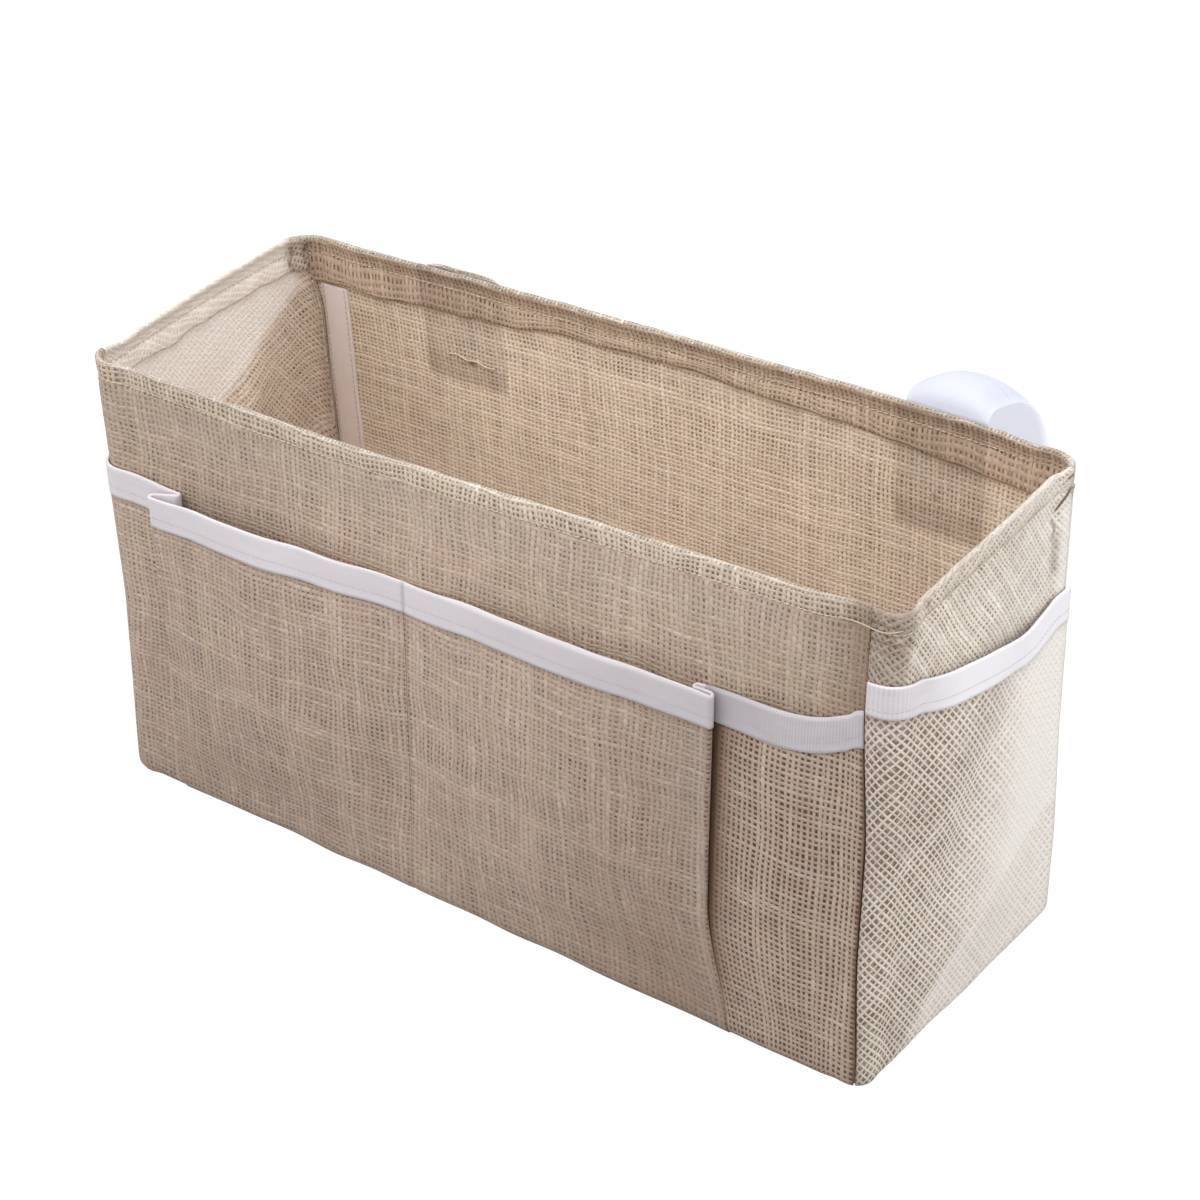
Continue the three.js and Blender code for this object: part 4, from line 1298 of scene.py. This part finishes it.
def evened(heights, reach):
    """Heights evened out over as many neighbours on each side."""
    count = 2 * reach + 1
    return np.convolve(np.pad(heights, reach, mode="edge"), np.ones(count) / count, mode="valid")


def front_mouth():
    """Height of the front mouth for each column, from measured heights on the three runs,
    evened out over a few columns."""
    along = front_path(np.full((1, 1), float(FRONT_MOUTH)))[0][0]
    order = np.arange(len(along))
    before = order < LEFT_TUCK
    outer = (order >= LEFT_TUCK) & (order < RIGHT_TUCK)
    left = np.interp(along, (-216, -192, -178), (190.7, 189.5, 188.5))
    middle = np.interp(along, (-194, -163, -101, -45, -38, -31, 5, 50, 94, 125, 140),
                       (184.5, 185.4, 185, 184, 183, 184, 187, 187, 187.7, 187.2, 185.6))
    right = np.interp(along, (126, 142, 157, 178, 190, 200, 214),
                      (186, 187.4, 188.2, 188.8, 190.6, 194.4, 205))
    heights = np.where(before, left, np.where(outer, middle, right))
    return evened(heights, 4)


def end_path(side, level):
    """An end pocket in plan: from seam to seam, swelling in the middle of the straight."""
    straight = straight_half(side, level)
    along = np.linspace(-1, 1, 110)
    along = along * (seam_along(side, level, along) - 0.3)
    share = np.clip(np.cos(np.clip(along / (straight + 22), -1, 1) * QUARTER), 0, 1) ** 1.5
    bulge = 6.5 * swell(level / END_MOUTH_FRONT)
    return along, NEAR + bulge * share, share


def end_mouth(side):
    """Height of an end mouth for each column, from measured heights, evened out."""
    along = end_path(side, np.full((1, 1), 190.0))[0][0]
    heights = np.interp(backward(side, along), (-92, -80, -68, -57, -42, -17, 9, 30, 42, 52, 62, 92),
                        (213, 217.4, 214.4, 209.2, 203.6, 197.6, 191.9, 185.6, 184.4, 185.6, 187, 187))
    return evened(heights, 5)


def across_path(along, out):
    """Unit direction across a plan path, away from the wall."""
    run_along = np.gradient(along, axis=1)
    run_out = np.gradient(out, axis=1)
    size = np.hypot(run_along, run_out) + 1e-9
    return -run_out / size, run_along / size


def rippled(side, path_at, level):
    """A pocket's path with the slack ripple that its cloth and its ribbon share."""
    along, out, free = path_at(level)
    out = (out + 0.55 * free * billow(along, level * 0.7, 3 + side, 55)) + TUCKED * (1 - ease(level / 75))
    gap = seam_gaps(side, level, along).near
    near_left = side == LEFT or (side == FRONT) * (along < 0)
    radius = np.where((along < 0) if side != FRONT else (along > 0), 10, 5)
    tucked = hump(gap, radius) * np.where(near_left, 1, 1 - ease(level / 60))
    out = out + (TUCKED - out) * tucked
    if side == FRONT:
        out = out - 0.3 * hump(along - DIVIDER, 1.5)
    return along, out


def pocket_places(side, path_at, level, shift):
    """Places beside a pocket's path, shifted away from the wall."""
    along, out = rippled(side, path_at, level)
    side_along, side_out = across_path(along, out)
    return wall(side, along + side_along * shift, rise_to(level), out + side_out * shift)


def developed(path_at, level):
    """Distance along a pocket's path at a level, for each of its columns."""
    along, out, _ = path_at(np.full((1, 1), float(level)))
    return np.concatenate([[0], np.cumsum(np.hypot(np.diff(along[0]), np.diff(out[0])))])


def end_pocket_pale(place, level):
    """Painted light on an end pocket: lighter toward the back, as the key light falls on the right end, most
    above the crease that runs up from its front foot."""
    crease = np.interp(place, (-75, -37, 4, 35, 69), (0, 23, 52, 65, 73)) - level
    slant = place + 24 + (level - 120) * -0.2
    pale = 0.03 + 0.12 * ease((place + 60) / 50) + 0.7 * ease(slant / 75)
    under = (0.54 * ease(crease / 6) + 0.42 * hump(crease, 5)) * ease((place + 70) / 40)
    under = np.maximum(under, 0.8 * hump(level, 6) * ease((place + 66) / 14))
    return np.where(crease > -12, np.maximum(pale * (1 - 0.25 * ease(crease / 6)), under), pale)


def make_pocket(name, side, path_at, mouth, material):
    """A pocket's cloth from the foot seam to under the band's fold."""
    foot = EDGE_RISE * 0.55
    share = np.linspace(0, 1, 84)[:, None]
    rise = foot + (rise_to(mouth - 1.4) - foot) * share
    level = level_at(rise)
    along, out = rippled(side, path_at, level)
    points = wall(side, along, rise, out)
    piece = add_grid(f"{name}_pocket_cloth", points, grain(side, points[len(share) // 2], rise))
    seam = seam_gaps(side, level, along).near
    # Painted shade: at the seams and the foot, and under the band; on the front also the pleat's shadow on
    # the last run, the darkening toward the right and the foot, and the divider and seam lines; on an end
    # pocket, darker toward the front.
    shade = 0.25 * np.exp(-seam / 1.5) + 0.12 * np.exp(-level / 5)
    shade += 0.25 * np.exp(-(mouth - BAND_HEIGHT - level).clip(0, FAR) / 1.8)
    if side == FRONT:
        beyond = along - front_turns(level).right
        last = np.arange(len(mouth)) >= len(mouth) - LAST_RUN
        shade += 1.75 * last * np.exp(-(beyond / 6).clip(0, 9)) * ease(level / 90)
        # Lighter, with thinner yarns, just left of the right pleat's edge.
        edge = -beyond * (1 - last)
        paint(piece, "pale", 0.12 * (1 - last) * hump(edge, 14) * (edge > 0))
        shade += 0.02 + front_painted_shade(along, level, 30, 100, 0.24) * (1 - 0.7 * last)
        shade += 0.1 * hump(along - DIVIDER, 1.2) + 0.8 * last * hump(seam, 1.1)
    else:
        place = backward(side, along)
        shade += 0.11 * ease((-place - 30) / 40)
        paint(piece, "pale", end_pocket_pale(place, level))
    paint(piece, "shade", shade)
    thicken(piece, CLOTH, offset=0.0)
    finish_piece(piece, material, replaces=(f"{name}_pocket",))
    if side == FRONT:
        piece.data.materials.append(made("open_mesh"))
        sort_faces(piece, np.broadcast_to(last[1:], (len(share) - 1, len(mouth) - 1)))
    return piece


def band_section():
    """The ribbon in section: distance from the mouth's top, and out of the pocket's cloth."""
    turn = np.linspace(0, math.pi, 8)[1:-1]
    below = np.concatenate([
        np.linspace(-BAND_HEIGHT, -BAND_FACE, BAND_ROWS),
        -BAND_FACE + BAND_FACE * np.sin(turn),
        np.linspace(-BAND_FACE, -BAND_HEIGHT * 0.9, 10),
    ])
    shift = np.concatenate([np.full(BAND_ROWS, BAND_FACE), BAND_FACE * np.cos(turn), np.full(10, -BAND_FACE)])
    flare = np.where(below < -12, 0.12 * (-12 - below) / 5, 0) * np.sign(shift)
    return below, shift + flare


def make_band(name, side, path_at, mouth):
    """Ribbon folded over the mouth: up the outer face, round the fold and down the inner face,
    carried along the pocket's path."""
    below, shift = band_section()
    shift = shift[:, None]
    order = np.arange(len(mouth))
    narrowed = 1 - 0.14 * (side != FRONT) * np.exp(-(order if side == RIGHT else order[::-1]) / 12)
    level = mouth[None] + below[:, None] * narrowed
    wave = 0.25 * billow(np.arange(len(mouth)) * 2.0, 0, 17 + side, 40)
    points = pocket_places(side, path_at, level + wave[None], shift)
    run = np.concatenate([[0], np.cumsum(np.abs(np.diff(below)) + np.abs(np.diff(shift[:, 0])))])
    piece = add_grid(f"{name}_band", points, pairs(developed(path_at, mouth.mean()), run[:, None]))
    along = path_at(level)[0]
    seam = seam_gaps(side, level, along).near
    # Painted shade: at the seams and along the stitch line; on the front, growing toward the right, over the
    # last run beside the pleat, and at the divider.
    shade = 0.3 * np.exp(-seam / 1.2) + 0.1 * hump(below + BAND_HEIGHT - STITCH_DROP, 0.5)[:, None]
    if side == FRONT:
        last = np.arange(len(mouth)) >= len(mouth) - LAST_RIBBON
        shade += 0.24 * ease((along + 60) / 150) * (1 - 0.5 * ease((along - 150) / 40))
        shade += last * (0.16 + 0.36 * np.exp(-((along - 132) / 14).clip(0, 9)))
        shade += 0.4 * hump(along - DIVIDER, 0.5)
        ribbed = 0.25 + 0.75 * ease((along - 145) / 30)
    else:
        place = backward(side, along)
        ribbed = 0.2 + 0.8 * ease((-35 - place) / 25)
    paint(piece, "shade", shade)
    # The ribs, with the painted shade in their valleys, show more toward the front's right and the ends'
    # front.
    paint(piece, "ribbed", np.broadcast_to(ribbed, level.shape))
    # The front ribbon is lighter along its edges; the end ribbons get painted light, growing toward the back
    # where the key light falls.
    edge = np.minimum(below + BAND_HEIGHT, np.where(np.arange(len(below)) < BAND_ROWS, -BAND_FACE - below, 9))
    bright = 0.3 * hump(edge, 0.7)[:, None] if side == FRONT else 0.2 + 0.78 * ease((place + 78) / 66)
    paint(piece, "pale", np.broadcast_to(bright, level.shape))
    thicken(piece, 0.5)
    finish_piece(piece, "ribbon_finish", replaces=(f"{name}_pocket_band",))
    line_level = (mouth - BAND_HEIGHT + STITCH_DROP)[None]
    line = pocket_places(side, path_at, line_level, BAND_FACE + 0.1)[0]
    normals = pocket_places(side, path_at, line_level, BAND_FACE + 1.1)[0] - line
    keep = np.linalg.norm(np.diff(line, axis=0, prepend=line[:1] - 1), axis=1) > 0.05
    run = stitches(f"{name}_band_stitches", line[keep], normals[keep],
                   pitch=2.6, reach=2.3, radius=0.15, height=0.12)
    return finish_piece(run, "white_thread")


class CADDY_OT_pockets(bpy.types.Operator):
    """Make the three pockets, their ribbons, and the divider's stitches"""
    bl_idname = "caddy.pockets"
    bl_label = "Pockets and ribbons"

    def execute(self, context):
        mouth = front_mouth()
        make_pocket("front", FRONT, front_path, mouth, "pocket_mesh")
        make_band("front", FRONT, front_path, mouth)
        for name, side in (("right_end", RIGHT), ("left_end", LEFT)):
            path_at, mouth = partial(end_path, side), end_mouth(side)
            make_pocket(name, side, path_at, mouth, "end_mesh")
            make_band(name, side, path_at, mouth)
        self.divider()
        return {"FINISHED"}

    def divider(self):
        """Two upright rows of thread that sew the front pocket to the wall."""
        for k, place in enumerate((DIVIDER - 0.6, DIVIDER + 0.6)):
            level = np.linspace(10, 182, 160)
            line, normals = wall_line(FRONT, np.full(160, place), level, NEAR + 0.55)
            run = stitches(f"divider_stitches_{k}", line, normals,
                           pitch=2.9, reach=2.3, radius=0.2, height=0.2, seed=k)
            finish_piece(run, "linen_thread")


# Straps

def strap_frame(strap):
    """Matrix of a strap's own frame: on the back wall's outer face at the anchor's top, turned
    with the rim and leaning with the wall."""
    top = HEIGHT - strap["drop"]
    foot = np.array(plan(BACK, -strap["place"], top - ANCHOR_HEIGHT, 0.0))
    head = np.array(plan(BACK, -strap["place"], top, 0.0))
    turn = float(outline(top - ANCHOR_HEIGHT / 2)[2])
    lean = (head - foot) @ np.array([-math.sin(turn), math.cos(turn)])
    return (Matrix.Translation((head[0], head[1], top)) @ Matrix.Rotation(turn, 4, "Z")
            @ Matrix.Rotation(-math.atan2(lean, ANCHOR_HEIGHT), 4, "X"))


def placed(matrix, points):
    """Points of a strap's own frame in the caddy's frame."""
    return points @ np.array(matrix.to_3x3()).T + np.array(matrix.translation)


def loop_line(strap):
    """Centre line of a strap's loop, depth behind the wall against height, and outward
    directions, from the anchor's foot to the tail's end."""
    last = len(LOOP) - 1
    near = ROOT_DEPTH + (TAIL_DEPTH - ROOT_DEPTH) * np.arange(len(LOOP)) / last
    depth = near + (strap["reach"] - near) * LOOP[:, 0]
    height = LOOP[:, 1] * np.where(LOOP[:, 1] > 0, strap["rise"], strap["fall"])
    points = np.stack([depth, height], -1)
    shares = np.linspace(0, 1, LOOP_STEPS + 1)
    line = np.array([catmull(points, t) for t in shares])
    run = unit(np.gradient(line, axis=0))
    return shares, line, np.stack([-run[:, 1], run[:, 0]], -1)


def tape_body(name, matrix, line, outward, low, high, cup, uv_start=0.0, grow=1.0):
    """A closed tape as wide as a strap, between two distances to the outer side of its line,
    with rounded edges; cup is how far its middle stands out of its edges at each point."""
    width, count = STRAP_WIDTH, TAPE_COLUMNS
    across = np.linspace(-0.5, 0.5, count)
    ring = np.concatenate([across, [0.5 + 0.35 / width], across[::-1], [-0.5 - 0.35 / width]])
    level = np.concatenate([np.full(count, 1.0), [0.5], np.full(count, 0.0), [0.5]])
    ease_edge = 1 - np.abs(2 * ring).clip(0, 1) ** 14
    offset = low + (high - low) * (0.5 + (level - 0.5) * (0.55 + 0.45 * ease_edge))
    length = travelled(line)
    sway = 0.2 * billow(line[:, :1] + line[:, 1:], ring[None] * width * 0.4, 3, 38)
    dome = cup[:, None] * (1 - np.abs(2 * ring.clip(-0.5, 0.5)) ** 2.5)[None]
    offset = offset[None] * np.broadcast_to(grow, len(line))[:, None]
    place = line[:, None] + outward[:, None] * (offset + sway + dome)[..., None]
    x = np.broadcast_to(ring * width, place.shape[:2])
    points = placed(matrix, np.concatenate([x[..., None], place], -1))
    uv = pairs(ring * width + (1 - level) * 60, length[:, None] + uv_start)
    rows, columns = points.shape[:2]
    faces = grid_faces(rows, columns, ring=True)[:, ::-1].tolist()
    for start, flip in ((0, False), ((rows - 1) * columns, True)):
        for i in range(count - 1):
            far = start + 2 * count - i
            quad = [start + i, start + i + 1, far - 1, far]
            faces.append(quad[::-1] if flip else quad)
    return face_outward(add_object(name, points, faces, uv))


class CADDY_OT_straps(bpy.types.Operator):
    """Make each strap's patch, loop tape, anchor, arch, tail and hook tape"""
    bl_idname = "caddy.straps"
    bl_label = "Straps"

    def execute(self, context):
        for name, strap in STRAPS.items():
            self.patch(name, strap)
            self.loop(name, strap)
        return {"FINISHED"}

    def patch(self, name, strap):
        """Linen patch on the back wall with its edges turned under, and the loop tape below."""
        width = STRAP_WIDTH + 5
        share = np.linspace(-0.5, 0.5, 40)
        top = (HEIGHT + 1.2 if name == "left" else HEIGHT - 6) - 3.5 * np.abs(2 * share) ** 5
        low = HEIGHT - PATCH_HEIGHT
        level = low + (top - low) * np.linspace(0, 1, 50)[:, None]
        along = -strap["place"] + share * width
        edge = np.minimum(0.5 - np.abs(share), (level - low) / width)
        out = CLOTH + 0.35 - 0.9 + ease(edge * width / 1.5) + 0.2 * billow(along, level, 43, 20)
        points = wall(BACK, along, rise_to(level), np.maximum(out, 0.35))
        piece = add_grid(f"{name}_patch_cloth", points, pairs(along, level) + PATCH_SHIFT)
        # Painted shade at the patch's turned-under edges.
        paint(piece, "shade", 0.2 * np.exp(-edge * width))
        thicken(piece, 0.7)
        finish_piece(piece, "bead_mesh", replaces=(f"{name}_strap_patch",))
        top = HEIGHT - strap["drop"]
        low = top + LOOP[-2, 1] * strap["fall"]
        high = top + LOOP[-1, 1] * strap["fall"]
        level = np.linspace(low, high, 24)[:, None]
        along = -strap["place"] + share * STRAP_WIDTH
        out = 0.35 + ease((0.5 - np.abs(share)) * 30)
        points = wall(BACK, along, rise_to(level), out)
        piece = add_grid(f"{name}_loop_side", points, pairs(along, level))
        thicken(piece, 0.9)
        finish_piece(piece, "tape_finish", replaces=(f"{name}_loop_tape",))

    def loop(self, name, strap):
        """The strap in two cloths, cut between its hinges: root to the arch's middle, and
        on to the tail's end, with the hook tape on the tail's outer side."""
        matrix = strap_frame(strap)
        shares, line, outward = loop_line(strap)
        half = STRAP_THICKNESS / 2
        last = len(LOOP) - 1
        top, peel, cut = (int(round(point / last * LOOP_STEPS))
                          for point in (TOP_POINT, PEEL_POINT, (TOP_POINT + PEEL_POINT) / 2))
        foot = np.stack([np.full(FOOT_STEPS, ROOT_DEPTH), np.linspace(-ANCHOR_HEIGHT, -1.5, FOOT_STEPS)], -1)
        foot_out = np.tile([[-1.0, 0.0]], (FOOT_STEPS, 1))
        dome = strap["dome"] * hump(shares - 0.27, 0.15)

        def part(key, line, outward, dome, low=-half, high=half, **more):
            piece = tape_body(f"{name}_{key}", matrix, line, outward, low, high, dome, **more)
            self.lit(piece, line)
            return piece

        def bending(piece, nodes):
            piece.data.materials.append(made("strap_finish"))
            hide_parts(*(f"{name}_strap_{node}" for node in nodes))
            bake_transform(piece)

        root = part("strap_root", np.concatenate([foot, line[:cut + 1]]),
                    np.concatenate([foot_out, outward[:cut + 1]]),
                    np.concatenate([np.zeros(FOOT_STEPS), dome[:cut + 1]]))
        bending(root, ("anchor", "arch"))
        free = part("strap_free", line[cut:], outward[cut:], dome[cut:], uv_start=90)
        bending(free, ("tail",))
        hook = shares >= PEEL_POINT / last + 0.025
        side = part("hook_side", line[hook], outward[hook], dome[hook], half + 0.3,
                    half + 0.3 + HOOK_THICKNESS * 0.8, uv_start=40,
                    grow=0.05 + 0.95 * ease((np.arange(hook.sum()) - 20) / 34))
        finish_piece(side, "strap_finish", f"{name}_strap_tail", (f"{name}_hook_tape",))

    def lit(self, piece, line):
        """Painted light through the tape, as emission: some on its outer face, more inside the arch, and a
        painted highlight along its edges there.
        """
        count = TAPE_COLUMNS
        inner = np.concatenate([np.zeros(count), [0.5], np.ones(count), [0.5]])
        edge = np.zeros(2 * count + 2)
        edge[[0, count - 1, count, count + 1, 2 * count, 2 * count + 1]] = 1
        arch = (ease((line[:, 1] + 85) / 45) * ease((line[:, 0] - ROOT_DEPTH) / 0.8))[:, None]
        paint(piece, "glow", 0.1 + 0.08 * arch + (0.42 * inner[None] + 0.12 * edge[None]) * arch)


# Wire, board and stage

SIDE_BARS = 120
END_BARS = 60
FLOOR_SIZE = 6000
FLOOR_DEPTH = 0.6


class CADDY_OT_wire(bpy.types.Operator):
    """Make the rim wire and its sleeve inside the hem's roll, and finish the base board"""
    bl_idname = "caddy.wire"
    bl_label = "Wire and board"

    def execute(self, context):
        rise = rise_to(HEIGHT - ROLL_RADIUS)
        ring = all_round(HEIGHT - ROLL_RADIUS, SIDE_BARS, END_BARS,
                         lambda side, along: wall(side, along, rise, -ROLL_RADIUS))
        self.tube("rim_wire_round", ring, WIRE_RADIUS * 0.8, "rim_wire")
        middle = SIDE_BARS + END_BARS + SIDE_BARS // 2
        sleeve = ring[middle - 3:middle + 4]
        self.tube("wire_sleeve_round", sleeve, WIRE_RADIUS * 0.9, "wire_sleeve", closed=False)
        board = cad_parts["base_board"]
        for slot in board.material_slots:
            slot.material = made("board_finish")
        return {"FINISHED"}

    def tube(self, name, line, radius, node, closed=True):
        """A round bar along a line of points, twelve sided, closed on itself or left open."""
        around = np.roll(line, -1, axis=0) - np.roll(line, 1, axis=0)
        run = unit(around if closed else np.gradient(line, axis=0))
        side = unit(np.cross(run, [0, 0, 1.0]))
        points = line[:, None] + radius * hoop(side, np.cross(side, run), 12)
        if closed:
            points = np.concatenate([points, points[:1]])
        piece = add_grid(name, points, ring=True)
        return finish_piece(piece, "wire_finish", replaces=(node,))


class CADDY_OT_stage(bpy.types.Operator):
    """Make the white floor, the lights and the camera"""
    bl_idname = "caddy.stage"
    bl_label = "Stage"

    def execute(self, context):
        settings = context.scene.caddy_stage
        scene = context.scene
        scene.view_settings.view_transform = "Standard"
        self.floor()
        self.world(scene, settings.sky)
        self.panel("key_light", settings.key, (1.7, 0.35, 1.05), 1.3)
        self.panel("fill_light", settings.fill, (-0.72, -0.78, 0.8), 0.7)
        self.panel("top_light", settings.top, (0.0, -0.35, 1.9), 1.6)
        self.camera(scene)
        return {"FINISHED"}

    def floor(self):
        """White ground just under the object, bright to the eye and softer as a light."""
        size, low = FLOOR_SIZE, -FLOOR_DEPTH
        points = [(-size, -size, low), (size, -size, low), (size, size, low), (-size, size, low)]
        floor = add_object("floor", points, [(0, 1, 2, 3)], smooth=False)
        material, shader, b = new_material("white_floor", 1)
        b.set(shader.inputs["Base Color"], (0.45, 0.45, 0.45, 1))
        b.set(shader.inputs["Specular IOR Level"], 0)
        glow = b.node("ShaderNodeEmission", {"Color": (1, 1, 1, 1), "Strength": 1.08}).outputs[0]
        both = b.node("ShaderNodeMixShader", {0: b.times(b.seen(), 0.93), 1: shader.outputs[0], 2: glow})
        out = material.node_tree.nodes["Material Output"]
        b.set(out.inputs["Surface"], both.outputs[0])
        floor.data.materials.append(material)

    def world(self, scene, strength):
        """White all round, as strong as the sky setting where it lights the object."""
        world = bpy.data.worlds.new("studio")
        scene.world = world
        world.use_nodes = True
        b = Bench(world.node_tree)
        world.node_tree.nodes.clear()
        level = b.scaled(b.seen(), 1.0 - strength, strength)
        sky = b.node("ShaderNodeBackground", {"Color": (1, 1, 1, 1), "Strength": level})
        out = b.node("ShaderNodeOutputWorld")
        b.set(out.inputs["Surface"], sky.outputs[0])

    def panel(self, name, power, place, size):
        """A square soft light that faces the object's middle."""
        lamp = bpy.data.lights.new(name, "AREA")
        lamp.energy = power
        lamp.size = size
        held = bpy.data.objects.new(name, lamp)
        held.location = place
        held.rotation_euler = (Vector(place) - Vector((0, 0, 0.12))).to_track_quat("Z", "Y").to_euler()
        bpy.context.scene.collection.objects.link(held)

    def camera(self, scene):
        """Rows of the fitted turn are the camera's own axes; its place follows from its shift."""
        sin_turn, cos_turn = math.sin(CAMERA_TURN), math.cos(CAMERA_TURN)
        sin_tilt, cos_tilt = math.sin(CAMERA_TILT), math.cos(CAMERA_TILT)
        back = np.array([sin_turn * cos_tilt, -cos_turn * cos_tilt, sin_tilt])
        right = np.array([cos_turn, sin_turn, 0.0])
        up = np.cross(back, right)
        c, s = math.cos(CAMERA_ROLL), math.sin(CAMERA_ROLL)
        turn = np.array([[c, -s, 0], [s, c, 0], [0, 0, 1]]) @ np.stack([right, up, back])
        place = turn.T @ np.array([-CAMERA_SHIFT[0], -CAMERA_SHIFT[1], CAMERA_DISTANCE]) * MM
        lens = bpy.data.cameras.new("camera")
        lens.sensor_width = SENSOR
        lens.sensor_fit = "HORIZONTAL"
        lens.lens = CAMERA_FOCUS / PICTURE * SENSOR
        lens.clip_end = 50
        camera = bpy.data.objects.new("camera", lens)
        matrix = np.eye(4)
        matrix[:3, :3] = turn.T
        matrix[:3, 3] = place
        camera.matrix_world = Matrix(matrix.tolist())
        scene.collection.objects.link(camera)
        scene.camera = camera


class CADDY_PT_panel(bpy.types.Panel):
    """Sidebar list of the caddy's steps and settings"""
    bl_idname = "CADDY_PT_panel"
    bl_label = "Bedside caddy"
    bl_space_type = "VIEW_3D"
    bl_region_type = "UI"
    bl_category = "Caddy"

    def draw(self, context):
        column = self.layout.column()
        for step in STEPS:
            column.operator(step.bl_idname)
        for group in (context.scene.caddy_cloth, context.scene.caddy_trim, context.scene.caddy_stage):
            box = self.layout.box()
            for name in group.__annotations__:
                box.prop(group, name)


STEPS = (CADDY_OT_stage, CADDY_OT_materials, CADDY_OT_walls, CADDY_OT_base, CADDY_OT_pockets,
         CADDY_OT_straps, CADDY_OT_wire)
GROUPS = (("caddy_cloth", CaddyClothSettings), ("caddy_trim", CaddyTrimSettings),
          ("caddy_stage", CaddyStageSettings))


def register():
    for name, group in GROUPS:
        bpy.utils.register_class(group)
        setattr(bpy.types.Scene, name, bpy.props.PointerProperty(type=group))
    for step in STEPS + (CADDY_PT_panel,):
        bpy.utils.register_class(step)


def unregister():
    for step in (CADDY_PT_panel,) + STEPS[::-1]:
        bpy.utils.unregister_class(step)
    for name, group in GROUPS:
        delattr(bpy.types.Scene, name)
        bpy.utils.unregister_class(group)


def main():
    register()
    bpy.ops.caddy.stage()
    bpy.ops.caddy.materials()
    bpy.ops.caddy.walls()
    bpy.ops.caddy.base()
    bpy.ops.caddy.pockets()
    bpy.ops.caddy.straps()
    bpy.ops.caddy.wire()


if __name__ == "__main__":
    main()
